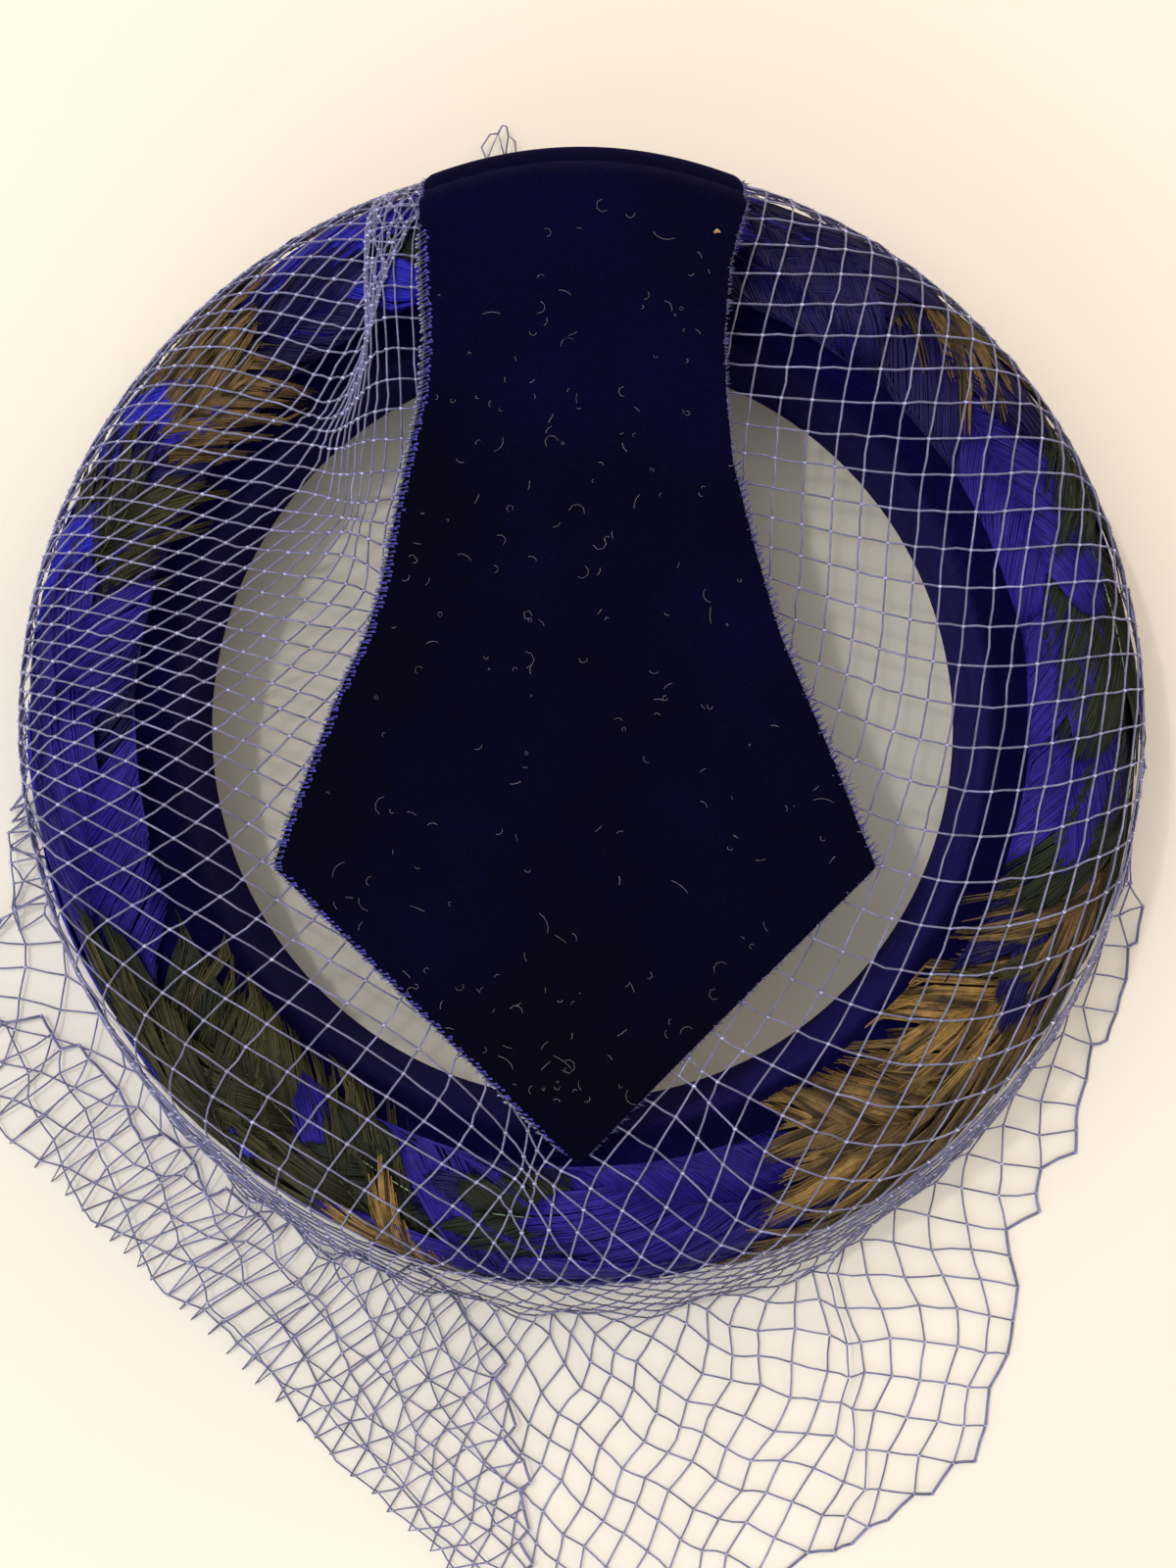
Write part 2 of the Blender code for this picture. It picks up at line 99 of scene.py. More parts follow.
@dataclass
class HatForm:
    """The shared form of the hat: the ring's section, and where its outer slope lies in the frame."""

    opening_radius: float = 0.0665
    ring_height: float = 0.045
    roll_radius: float = 0.0100
    flare: float = math.radians(13.0)
    wall: float = 0.0025
    dents: tuple[Dent, ...] = (
        Dent(151.0, -0.0030, 20.0),
        Dent(73.0, -0.0020, 16.0),
        Dent(258.0, 0.0018, 18.0),
        Dent(297.0, 0.0014, 18.0),
    )
    centre: Vector = field(init=False)
    roll_centre: float = field(init=False)
    roll_height: float = field(init=False)
    roll_length: float = field(init=False)
    slope_length: float = field(init=False)
    foot_radius: float = field(init=False)
    mean_radius: float = field(init=False)

    def __post_init__(self) -> None:
        """Find the ring's centre from its inner rim, and the lengths that follow from the sizes."""
        low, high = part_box("velvet_ring")
        middle = np.array((low + high) / 2)[:2]
        count = len(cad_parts["velvet_ring"].data.vertices)
        points = np.empty(count * 3, np.float32)
        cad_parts["velvet_ring"].data.vertices.foreach_get("co", points)
        points = np.unique(np.round(points.reshape(-1, 3).astype(float), 6), axis=0)
        near = np.linalg.norm(points[:, :2] - middle, axis=1) < self.opening_radius + self.wall / 2
        rim = points[near & (points[:, 2] < self.wall / 10)]
        self.centre = Vector((*rim[:, :2].mean(axis=0), 0.0))
        self.roll_centre = self.opening_radius + self.roll_radius
        self.roll_height = self.ring_height - self.roll_radius
        self.roll_length = self.roll_radius * (math.pi / 2 - self.flare)
        wall_drop = self.roll_height + self.roll_radius * math.sin(self.flare)
        self.slope_length = self.roll_length + wall_drop / math.cos(self.flare)
        rolled = self.roll_radius * math.cos(self.flare)
        self.foot_radius = self.roll_centre + rolled + wall_drop * math.tan(self.flare)
        self.mean_radius = (self.roll_centre + self.foot_radius) / 2

    def section(self, along: Array) -> tuple[Array, Array, Array, Array]:
        """The ring's section at distances from its crest, outwards positive.

        Args:
            along: distances along the section.

        Returns:
            Radius, height, and the two parts of the outward direction.
        """
        turn = np.minimum(along / self.roll_radius, math.pi / 2 - self.flare)
        out, up = np.sin(turn), np.cos(turn)
        down = np.maximum(along - self.roll_length, 0.0)
        radius = self.roll_centre + self.roll_radius * out + down * math.sin(self.flare)
        height = self.roll_height + self.roll_radius * up - down * math.cos(self.flare)
        return radius, height, out, up

    def push(self, azimuth: Array, along: Array) -> Array:
        """How far the dents push the slope outwards, at angles round it and distances from its crest."""
        pushed = sum(dent.push * bell(azimuth, dent.azimuth_deg, dent.spread_deg) for dent in self.dents)
        return pushed * smooth_step(along / self.slope_length)

    def down(self, inward: float) -> float:
        """How far down the slope a place is that is known as it is seen from above.

        Args:
            inward: how far in the place is, from 0 at the ring's foot to 1 at its crest.

        Returns:
            The distance from the crest.
        """
        out = (1 - inward) * (self.foot_radius - self.roll_centre)
        rolled = self.roll_radius * math.cos(self.flare)
        if out > rolled:
            return self.roll_length + (out - rolled) / math.sin(self.flare)
        return self.roll_radius * math.asin(out / self.roll_radius)

    def on_slope(self, azimuth: Array, along: Array, lift: Array) -> Array:
        """Points on the ring's surface, lifted off it.

        Args:
            azimuth: angles round the ring.
            along: distances from the crest, outwards positive.
            lift: heights off the surface.

        Returns:
            One row of x, y, z for each point.
        """
        radius, height, out, up = self.section(along)
        radius = radius + self.push(azimuth, along) + lift * out
        x = self.centre.x + radius * np.cos(azimuth)
        y = self.centre.y + radius * np.sin(azimuth)
        return np.stack([x, y, height + lift * up], axis=-1)


def wrapped_grid(
    name: str, columns: int, rows: int, place: Callable[[Array, Array], Array]
) -> bpy.types.Object:
    """A grid primitive whose corners are moved onto a form, with the edges that meet merged.

    Args:
        name: the piece's name.
        columns: cells along the first share.
        rows: cells along the second share.
        place: from two arrays of shares, 0 to 1, to rows of x, y, z.

    Returns:
        The finished object, at the origin.
    """
    select_nothing()
    bpy.ops.mesh.primitive_grid_add(x_subdivisions=columns, y_subdivisions=rows, size=1.0, location=(0, 0, 0))
    piece = bpy.context.object
    piece.name = piece.data.name = name
    flat = np.empty(len(piece.data.vertices) * 3)
    piece.data.vertices.foreach_get("co", flat)
    flat = flat.reshape(-1, 3)
    points = place(np.clip(flat[:, 0] + 0.5, 0, 1), np.clip(flat[:, 1] + 0.5, 0, 1))
    piece.data.vertices.foreach_set("co", points.astype(np.float32).ravel())
    bpy.ops.object.mode_set(mode="EDIT")
    bpy.ops.mesh.select_all(action="SELECT")
    bpy.ops.mesh.remove_doubles(threshold=MERGE_DISTANCE)
    bpy.ops.mesh.normals_make_consistent(inside=False)
    bpy.ops.object.mode_set(mode="OBJECT")
    bpy.ops.object.shade_smooth()
    return piece


def new_mesh(name: str, points: Array, faces: Array, tints: Array | None = None) -> bpy.types.Object:
    """A mesh of many fine threads or barbs, which no primitive could start.

    Args:
        name: the piece's name.
        points: rows of x, y, z.
        faces: rows of corner numbers, all of one length.
        tints: a colour for each point, if it has its own.

    Returns:
        The object, at the origin.
    """
    mesh = bpy.data.meshes.new(name)
    sides = faces.shape[1]
    mesh.vertices.add(len(points))
    mesh.vertices.foreach_set("co", points.astype(np.float32).ravel())
    mesh.loops.add(faces.size)
    mesh.loops.foreach_set("vertex_index", faces.astype(np.int32).ravel())
    mesh.polygons.add(len(faces))
    mesh.polygons.foreach_set("loop_start", np.arange(0, faces.size, sides, dtype=np.int32))
    mesh.update(calc_edges=True)
    if tints is not None:
        colours = mesh.color_attributes.new("tint", "FLOAT_COLOR", "POINT")
        opaque = np.hstack([tints, np.ones((len(tints), 1))])
        colours.data.foreach_set("color", opaque.astype(np.float32).ravel())
    piece = bpy.data.objects.new(name, mesh)
    bpy.context.scene.collection.objects.link(piece)
    select_nothing()
    piece.select_set(True)
    bpy.context.view_layer.objects.active = piece
    bpy.ops.object.shade_smooth()
    return piece


def tubes(
    paths: Array, radii: Array, sides: int, flat: float = 1.0, ups: Array | None = None
) -> tuple[Array, Array]:
    """Closed thin tubes along many paths of the same number of points.

    Args:
        paths: paths x points x 3.
        radii: paths x points.
        sides: sides of each tube.
        flat: thickness as a share of width.
        ups: a direction across each path that is the tube's thin way, or None for any.

    Returns:
        Points, and faces of four corners along the tubes' sides; their ends are left open.
    """
    count, length, _ = paths.shape
    ahead = np.gradient(paths, axis=1)
    ahead /= np.maximum(np.linalg.norm(ahead, axis=2, keepdims=True), 1e-12)
    if ups is None:
        ups = np.where(np.abs(ahead[..., 2:3]) < 0.8, np.array([0.0, 0.0, 1.0]), np.array([1.0, 0.0, 0.0]))
    across = np.cross(ahead, ups)
    across /= np.maximum(np.linalg.norm(across, axis=2, keepdims=True), 1e-12)
    thin = np.cross(across, ahead)
    turns = np.linspace(0, 2 * math.pi, sides, endpoint=False) + math.pi / 2
    ring = (
        across[:, :, None, :] * np.cos(turns)[None, None, :, None]
        + thin[:, :, None, :] * np.sin(turns)[None, None, :, None] * flat
    )
    points = (paths[:, :, None, :] + ring * radii[:, :, None, None]).reshape(-1, 3)
    base = np.arange(count)[:, None, None] * length * sides
    row = np.arange(length - 1)[None, :, None] * sides
    side = np.arange(sides)[None, None, :]
    after = (side + 1) % sides
    here, beyond = base + row, base + row + sides
    quads = np.stack([here + side, beyond + side, beyond + after, here + after], axis=-1)
    return points, quads.reshape(-1, 4)


def capped(quads: Array, paths: int, length: int, sides: int) -> Array:
    """The triangles of tubes, with both ends of each closed.

    Args:
        quads: the tubes' side faces.
        paths: how many tubes.
        length: points along each.
        sides: sides of each.

    Returns:
        Rows of three corners.
    """
    halves = np.concatenate([quads[:, [0, 1, 2]], quads[:, [0, 2, 3]]])
    base = np.arange(paths) * length * sides
    ends = []
    for fan in range(1, sides - 1):
        ends.append(np.stack([base, base + fan, base + fan + 1], axis=-1))
        last = base + (length - 1) * sides
        ends.append(np.stack([last, last + fan + 1, last + fan], axis=-1))
    return np.concatenate([halves, *ends])


@dataclass(frozen=True)
class Threads:
    """Many threads of one kind: their paths, radii along them, sides and colour."""

    paths: Array
    radii: Array | float | tuple[float, ...]
    sides: int
    colour: Colour


def joined_tubes(name: str, kinds: list[Threads], finish: bpy.types.Material) -> bpy.types.Object:
    """One piece of many threads, each a little lighter or darker than the next.

    Args:
        name: its name.
        kinds: the threads.
        finish: its material, which reads the colours.

    Returns:
        The piece.
    """
    points, faces, tints, first = [], [], [], 0
    random = np.random.default_rng(len(name))
    for kind in kinds:
        count, length, _ = kind.paths.shape
        made, quads = tubes(kind.paths, np.broadcast_to(kind.radii, (count, length)), kind.sides)
        faces.append(capped(quads, count, length, kind.sides) + first)
        points.append(made)
        shade = np.exp(random.normal(0, 0.18, count))
        tints.append(np.repeat(shade, length * kind.sides)[:, None] * np.array([kind.colour]))
        first += len(made)
    piece = new_mesh(name, np.concatenate(points), np.concatenate(faces), np.concatenate(tints).clip(0, 1))
    piece.data.materials.append(finish)
    return piece


class Nodes:
    """A material's node tree, with short ways to add what the finishes here use."""

    def __init__(self, name: str) -> None:
        """Start a Principled material.

        Args:
            name: the material's name.
        """
        self.material = bpy.data.materials.new(name)
        self.material.use_nodes = True
        self.tree = self.material.node_tree
        self.shader = self.tree.nodes["Principled BSDF"]
        self.where = self.tree.nodes.new("ShaderNodeTexCoord").outputs["Object"]

    def noise(self, scale: float, detail: float = 3.0, roughness: float = 0.5) -> Socket:
        """A noise on object coordinates.

        Args:
            scale: how fine it is.
            detail: how many finer noises are added.
            roughness: how strong they are.

        Returns:
            Its value socket.
        """
        node = self.tree.nodes.new("ShaderNodeTexNoise")
        node.inputs["Scale"].default_value = scale
        node.inputs["Detail"].default_value = detail
        node.inputs["Roughness"].default_value = roughness
        self.tree.links.new(self.where, node.inputs["Vector"])
        return node.outputs["Fac"]

    def ramp(self, value: Socket, stops: tuple[tuple[float, Colour], ...]) -> Socket:
        """Colours along a value.

        Args:
            value: what they follow.
            stops: each place on the ramp, with its colour.

        Returns:
            The colour socket.
        """
        node = self.tree.nodes.new("ShaderNodeValToRGB")
        self.tree.links.new(value, node.inputs["Fac"])
        ramp = node.color_ramp
        while len(ramp.elements) < len(stops):
            ramp.elements.new(0.5)
        for element, (position, colour) in zip(ramp.elements, stops):
            element.position = position
            element.color = (*colour, 1.0)
        return node.outputs["Color"]

    def multiplied(self, first: Socket, second: Socket) -> Socket:
        """One colour darkened by another.

        Args:
            first: the colour.
            second: what it is multiplied by.

        Returns:
            The colour socket.
        """
        node = self.tree.nodes.new("ShaderNodeMix")
        node.data_type = "RGBA"
        node.blend_type = "MULTIPLY"
        node.inputs[0].default_value = 1.0
        self.tree.links.new(first, node.inputs[6])
        self.tree.links.new(second, node.inputs[7])
        return node.outputs[2]

    def bump(self, height: Socket, strength: float, distance: float) -> None:
        """Bump the surface.

        Args:
            height: the socket that gives the relief.
            strength: how much of it shows.
            distance: how deep it is.
        """
        node = self.tree.nodes.new("ShaderNodeBump")
        node.inputs["Strength"].default_value = strength
        node.inputs["Distance"].default_value = distance
        self.tree.links.new(height, node.inputs["Height"])
        self.tree.links.new(node.outputs["Normal"], self.shader.inputs["Normal"])

    def attribute(self, name: str) -> Socket:
        """A colour attribute of the piece.

        Args:
            name: its name.

        Returns:
            Its colour socket.
        """
        node = self.tree.nodes.new("ShaderNodeAttribute")
        node.attribute_name = name
        return node.outputs["Color"]

    def set(self, **values: float | tuple[float, ...]) -> None:
        """Set the shader's own sockets, with underscores for the spaces in their names."""
        for name, value in values.items():
            self.shader.inputs[name.replace("_", " ")].default_value = value

    def colour(self, socket: Socket) -> None:
        """Link the base colour."""
        self.tree.links.new(socket, self.shader.inputs["Base Color"])


@dataclass(frozen=True)
class Velvet:
    """A pile cloth: dark seen along the pile, with a soft light rim, and mottled where it is brushed."""

    name: str
    deep: Colour
    brushed: Colour
    sheen: Colour
    sheen_weight: float
    patch_scale: float = 38.0

    def make(self) -> bpy.types.Material:
        """Build the material.

        Returns:
            The material.
        """
        nodes = Nodes(self.name)
        soft = nodes.noise(self.patch_scale, 4.0, 0.6)
        pile = nodes.noise(2400.0, 2.0, 0.7)
        brushed = nodes.ramp(soft, ((0.42, self.deep), (0.70, self.brushed)))
        flecked = nodes.ramp(pile, ((0.30, (0.45, 0.45, 0.45)), (0.75, (1.35, 1.35, 1.35))))
        nodes.colour(nodes.multiplied(brushed, flecked))
        nodes.bump(pile, 0.55, 0.0005)
        nodes.set(Roughness=0.88, Sheen_Weight=self.sheen_weight, Sheen_Roughness=0.34)
        nodes.set(Sheen_Tint=(*self.sheen, 1.0), Specular_IOR_Level=0.04)
        return nodes.material


@dataclass(frozen=True)
class Plume:
    """The finish of barbs, shafts and small threads, whose colours are on the piece itself."""

    name: str
    roughness: float
    sheen: float
    gloss: float = 0.2

    def make(self) -> bpy.types.Material:
        """Build the material.

        Returns:
            The material.
        """
        nodes = Nodes(self.name)
        fine = nodes.noise(900.0, 3.0, 0.6)
        streak = nodes.ramp(fine, ((0.3, (0.72, 0.72, 0.72)), (0.75, (1.25, 1.25, 1.25))))
        nodes.colour(nodes.multiplied(nodes.attribute("tint"), streak))
        nodes.bump(nodes.noise(3000.0, 2.0, 0.5), 0.25, 0.0002)
        nodes.set(Roughness=self.roughness, Sheen_Weight=self.sheen, Sheen_Roughness=0.4)
        nodes.set(Specular_IOR_Level=self.gloss)
        return nodes.material


class Plumage(Enum):
    """The kinds of feather, each with its body, tip, dark and shaft colours."""

    BLUE = ((0.009, 0.005, 0.140), (0.017, 0.010, 0.220), (0.003, 0.002, 0.040), (0.008, 0.005, 0.090))
    ROYAL = ((0.012, 0.008, 0.320), (0.024, 0.024, 0.500), (0.006, 0.004, 0.130), (0.020, 0.018, 0.300))
    NAVY = ((0.003, 0.002, 0.034), (0.005, 0.003, 0.066), (0.002, 0.002, 0.014), (0.003, 0.002, 0.020))
    OLIVE = ((0.022, 0.024, 0.010), (0.062, 0.056, 0.022), (0.005, 0.006, 0.005), (0.100, 0.095, 0.065))
    MOSS = ((0.010, 0.016, 0.009), (0.020, 0.028, 0.014), (0.003, 0.004, 0.004), (0.220, 0.330, 0.230))
    BROWN = ((0.088, 0.058, 0.026), (0.165, 0.105, 0.044), (0.012, 0.009, 0.007), (0.120, 0.080, 0.045))
    GOLD = ((0.170, 0.100, 0.036), (0.290, 0.180, 0.055), (0.010, 0.008, 0.007), (0.080, 0.050, 0.030))

    @property
    def barred(self) -> bool:
        """Whether it has dark bars across."""
        return self in (Plumage.BROWN, Plumage.GOLD)

    @property
    def past_crest(self) -> float:
        """How far past the ring's crest its barbs reach, as a share of the roll's radius."""
        return 0.75 if self in (Plumage.BROWN, Plumage.GOLD, Plumage.OLIVE) else 0.42


@dataclass(frozen=True)
class Blade:
    """One feather: its plumage, where its shaft runs, how long and wide it is, and how split its edges are.

    start is how far clockwise of its cluster's root it begins. root and tip are how far in its two ends
    lie, seen from above, from 0 at the foot to 1 at the ring's crest.
    """

    plumage: Plumage
    start: float
    root: float
    tip: float
    length: float = 0.056
    width: float = 0.0100
    split: float = 0.15


@dataclass(frozen=True)
class ShaftLine:
    """The line of one feather's shaft on the unrolled slope, clockwise and then down from the crest."""

    root: float
    start: Array
    along: Array
    aside: Array
    length: float
    bow: float

    def spread(self, x: Array, y: Array) -> Array:
        """Points on the unrolled slope that are x along the shaft and y to the side of it."""
        aside = y + self.bow * np.sin(math.pi * np.clip(x / self.length, 0, 1.1))
        return self.start + x[..., None] * self.along + aside[..., None] * self.aside


@dataclass
class FeatherWreath:
    """The wreath: clusters of barbed feathers, each on the place of one blade of the frame."""

    form: HatForm
    count: int = 20
    first_deg: float = 78.0
    half_width: float = 0.0235
    thickness: float = 0.0005
    gap: float = 0.0007
    seat: float = 0.0004
    heel_share: float = 0.45
    least_lift: float = 0.0003
    most_lift: float = 0.0034
    layer_lift: float = 0.0002
    crown: float = 0.0003
    flick: float = 0.0006
    barb_pitch: float = 0.00042
    barb_width: float = 0.00042
    barb_points: int = 4
    barb_sides: int = 3
    barb_flatness: float = 0.22
    barbed_share: float = 0.93
    slant_deg: float = 48.0
    slant_loss_deg: float = 28.0
    bow_share: float = 0.05
    clump_length: float = 0.0026
    shaft_width: float = 0.00060
    shaft_lift: float = 0.0004
    shaft_points: int = 24
    shaft_sides: int = 5

    def lift(self, root: float, azimuth: Array, layer: int) -> Array:
        """How far a feather stands off the ring.

        Args:
            root: the azimuth of its cluster's root.
            azimuth: where to measure.
            layer: how many feathers of the cluster lie under it.

        Returns:
            Heights off the ring's surface.
        """
        climb = (self.thickness + self.gap) / (2 * math.pi / self.count)
        behind = self.heel_share * self.half_width / self.form.mean_radius
        height = self.seat + climb * (behind + root - azimuth)
        return height.clip(self.least_lift, self.most_lift) + self.layer_lift * layer

    def shaft_line(self, blade: Blade, number: int, bend: float) -> ShaftLine:
        """Where a feather's shaft runs.

        Args:
            blade: what feather it is.
            number: the number of its cluster.
            bend: which way and how much it bows, from -1 to 1.

        Returns:
            The line.
        """
        root = math.radians(self.first_deg) - number * 2 * math.pi / self.count
        rise = self.form.down(blade.root) - self.form.down(blade.tip)
        along = np.array([math.sqrt(max(blade.length**2 - rise**2, 1e-6)), -rise]) / blade.length
        aside = np.array([-along[1], along[0]])
        start = np.array([blade.start, self.form.down(blade.root)])
        return ShaftLine(root, start, along, aside, blade.length, self.bow_share * blade.length * bend)

    def build_blade(self, blade: Blade, number: int, layer: int, seed: int) -> tuple[Array, Array, Array]:
        """One feather: barbs in clumps to both sides of a shaft, lying along the ring's slope.

        Args:
            blade: what feather it is.
            number: the number of its cluster.
            layer: how many feathers of the cluster lie under it.
            seed: fixes its random draws.

        Returns:
            Points, triangles and tints.
        """
        random = np.random.default_rng(seed)
        form, length, half = self.form, blade.length, blade.width
        each_side = int(length * self.barbed_share / self.barb_pitch)
        barbs = 2 * each_side
        place = np.repeat(np.linspace(0.05, 0.985, each_side), 2) + random.normal(0, 0.0012, barbs)
        side = np.tile([1.0, -1.0], each_side)
        line = self.shaft_line(blade, number, random.uniform(-1.0, 1.0))

        # How long the barbs are, in clumps that lean together
        clump = np.floor(place * length / self.clump_length + random.uniform(0, 1)) + side * 1000
        _, clump_index = np.unique(clump, return_inverse=True)
        clump_shift = random.normal(0, 1, clump_index.max() + 1)[clump_index]
        uneven = (0.015 + 0.05 * blade.split) * random.normal(0, 1, barbs)
        ragged = np.clip(1 + uneven + blade.split * 0.20 * clump_shift, 0.35, 1.3)
        fullness = np.sin(math.pi * np.clip(0.10 + 0.78 * place, 0, 1)) ** 0.55
        tip_round = np.sqrt(np.clip(1 - ((place - 0.70) / 0.31).clip(0, 1) ** 2, 0.02, 1))
        slant = math.radians(self.slant_deg) - math.radians(self.slant_loss_deg) * place
        step = (half * fullness * tip_round / np.sin(slant) * ragged / (self.barb_points - 1))[:, None]

        # Where they run beside the shaft
        shares = np.linspace(0, 1, self.barb_points)[None, :]
        bend = slant[:, None] * (1 - 0.35 * shares) + blade.split * 0.10 * clump_shift[:, None] * shares
        x = place[:, None] * length + (np.cumsum(np.cos(bend), 1) - np.cos(bend[:, :1])) * step
        y = side[:, None] * (np.cumsum(np.sin(bend), 1) - np.sin(bend[:, :1])) * step
        spread = line.spread(x, y)
        azimuth = line.root - spread[..., 0] / form.mean_radius
        past_crest = blade.plumage.past_crest * form.roll_radius
        slope = np.clip(spread[..., 1], -past_crest, form.slope_length - 0.0004)
        crown = self.crown * (1 - (y / half) ** 2).clip(0, 1)
        flick = self.flick * blade.split * np.abs(clump_shift)[:, None] * shares**2 * (place[:, None] > 0.5)
        lift = self.lift(line.root, azimuth, layer) + crown + flick
        lift = lift + random.normal(0, 0.00003, (barbs, 1))
        paths = form.on_slope(azimuth, slope, lift)

        # Their flat tubes, tilted a little
        ups = form.on_slope(azimuth, slope, lift + 0.001) - paths
        tilt = random.normal(0, 0.10 + 0.25 * blade.split, (barbs, 1, 1))
        ups = ups + np.cross(np.gradient(paths, axis=1), ups) / 0.001 * tilt
        taper = np.linspace(1.0, 0.8, self.barb_points)
        taper[-1] = 0.25
        radii = self.barb_width * taper[None, :] * np.ones((barbs, 1))
        points, quads = tubes(paths, radii, self.barb_sides, self.barb_flatness, ups)
        faces = capped(quads, barbs, self.barb_points, self.barb_sides)
        tints = self.barb_tints(blade.plumage, place, shares, y / half, random)
        shaft, shaft_faces, shaft_tints = self.build_shaft(blade.plumage, line, layer)
        faces = np.concatenate([faces, shaft_faces + len(points)])
        return np.concatenate([points, shaft]), faces, np.concatenate([tints, shaft_tints])

    def barb_tints(
        self, plumage: Plumage, place: Array, shares: Array, across: Array, random: np.random.Generator
    ) -> Array:
        """The colours along the barbs of one feather.

        Args:
            plumage: the kind of feather.
            place: where each barb leaves the shaft, 0 to 1.
            shares: how far along a barb its points are, 0 to 1.
            across: how far out each point is, as a share of the half width.
            random: where the draws come from.

        Returns:
            A colour for each point of the barbs' tubes.
        """
        body, tip, dark, _ = (np.array(colour) for colour in plumage.value)
        edge, place = np.abs(across), place[:, None]
        light = smooth_step((place - 0.35) / 0.6) * 0.7 + 0.3 * edge + random.normal(0, 0.10, place.shape)
        colour = body + (tip - body) * np.clip(light, 0, 1)[..., None]
        shade = random.normal(0.0, 0.10, place.shape)
        if plumage.barred:
            reach = place + 0.10 * shares + 0.02 * np.sin(9 * across)
            bar = smooth_step((np.sin(reach * 34.0) - 0.45) / 0.25) * (place > 0.25) * (edge < 0.93)
            colour = colour + (dark - colour) * (0.85 * bar)[..., None]
        elif plumage in (Plumage.OLIVE, Plumage.MOSS):
            core = smooth_step(1 - edge * 1.3)
            colour = colour + (dark - colour) * (0.7 * core)[..., None]
        root = smooth_step((0.22 - place) / 0.2) * np.ones_like(edge)
        colour = colour + (dark - colour) * (0.6 * root)[..., None]
        colour = colour * np.exp(shade)[..., None]
        return np.repeat(colour, self.barb_sides, axis=1).reshape(-1, 3)

    def build_shaft(self, plumage: Plumage, line: ShaftLine, layer: int) -> tuple[Array, Array, Array]:
        """A feather's shaft: a thin tapering tube down its middle.

        Args:
            plumage: the kind of feather.
            line: where the shaft runs.
            layer: how many feathers of the cluster lie under this one.

        Returns:
            Points, triangles and tints.
        """
        form = self.form
        x = np.linspace(-0.02, 0.95, self.shaft_points) * line.length
        spread = line.spread(x, x * 0)
        azimuth = line.root - spread[:, 0] / form.mean_radius
        past_crest = plumage.past_crest * form.roll_radius
        slope = np.clip(spread[:, 1], -past_crest, form.slope_length - 0.0006)
        lift = self.lift(line.root, azimuth, layer) + self.shaft_lift
        path = form.on_slope(azimuth, slope, lift)[None]
        radii = (self.shaft_width * (1 - 0.8 * np.linspace(0, 1, self.shaft_points)))[None] / 2
        points, quads = tubes(path, radii, self.shaft_sides)
        faces = capped(quads, 1, self.shaft_points, self.shaft_sides)
        return points, faces, np.tile(np.array(plumage.value[3]), (len(points), 1))

    def build(self, clusters: tuple[tuple[Blade, ...], ...]) -> list[bpy.types.Object]:
        """Every cluster, each in the place of its blade.

        Args:
            clusters: what each is made of, clockwise from the right edge of the tab.

        Returns:
            The pieces.
        """
        finish = Plume("silky barbs", 0.45, 0.0, 0.16).make()
        pieces = []
        for number, cluster in enumerate(clusters):
            lowest = Blade(cluster[0].plumage, 0.0, 0.0, 0.06, width=0.0125)
            parts = [
                self.build_blade(blade, number, layer, 1000 + 17 * number + layer)
                for layer, blade in enumerate((lowest, *cluster))
            ]
            starts = np.cumsum([0] + [len(part[0]) for part in parts[:-1]])
            points = np.concatenate([part[0] for part in parts])
            faces = np.concatenate([part[1] + first for part, first in zip(parts, starts)])
            tints = np.concatenate([part[2] for part in parts])
            node = f"feather_{number + 1:02d}"
            piece = new_mesh(f"plume_{number + 1:02d}", points, faces, tints.clip(0, 1))
            piece.data.materials.append(finish)
            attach(piece, "root")
            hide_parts(node)
            pieces.append(piece)
            log.info("%s: %d feathers, %d triangles", piece.name, len(cluster), len(faces))
        return pieces


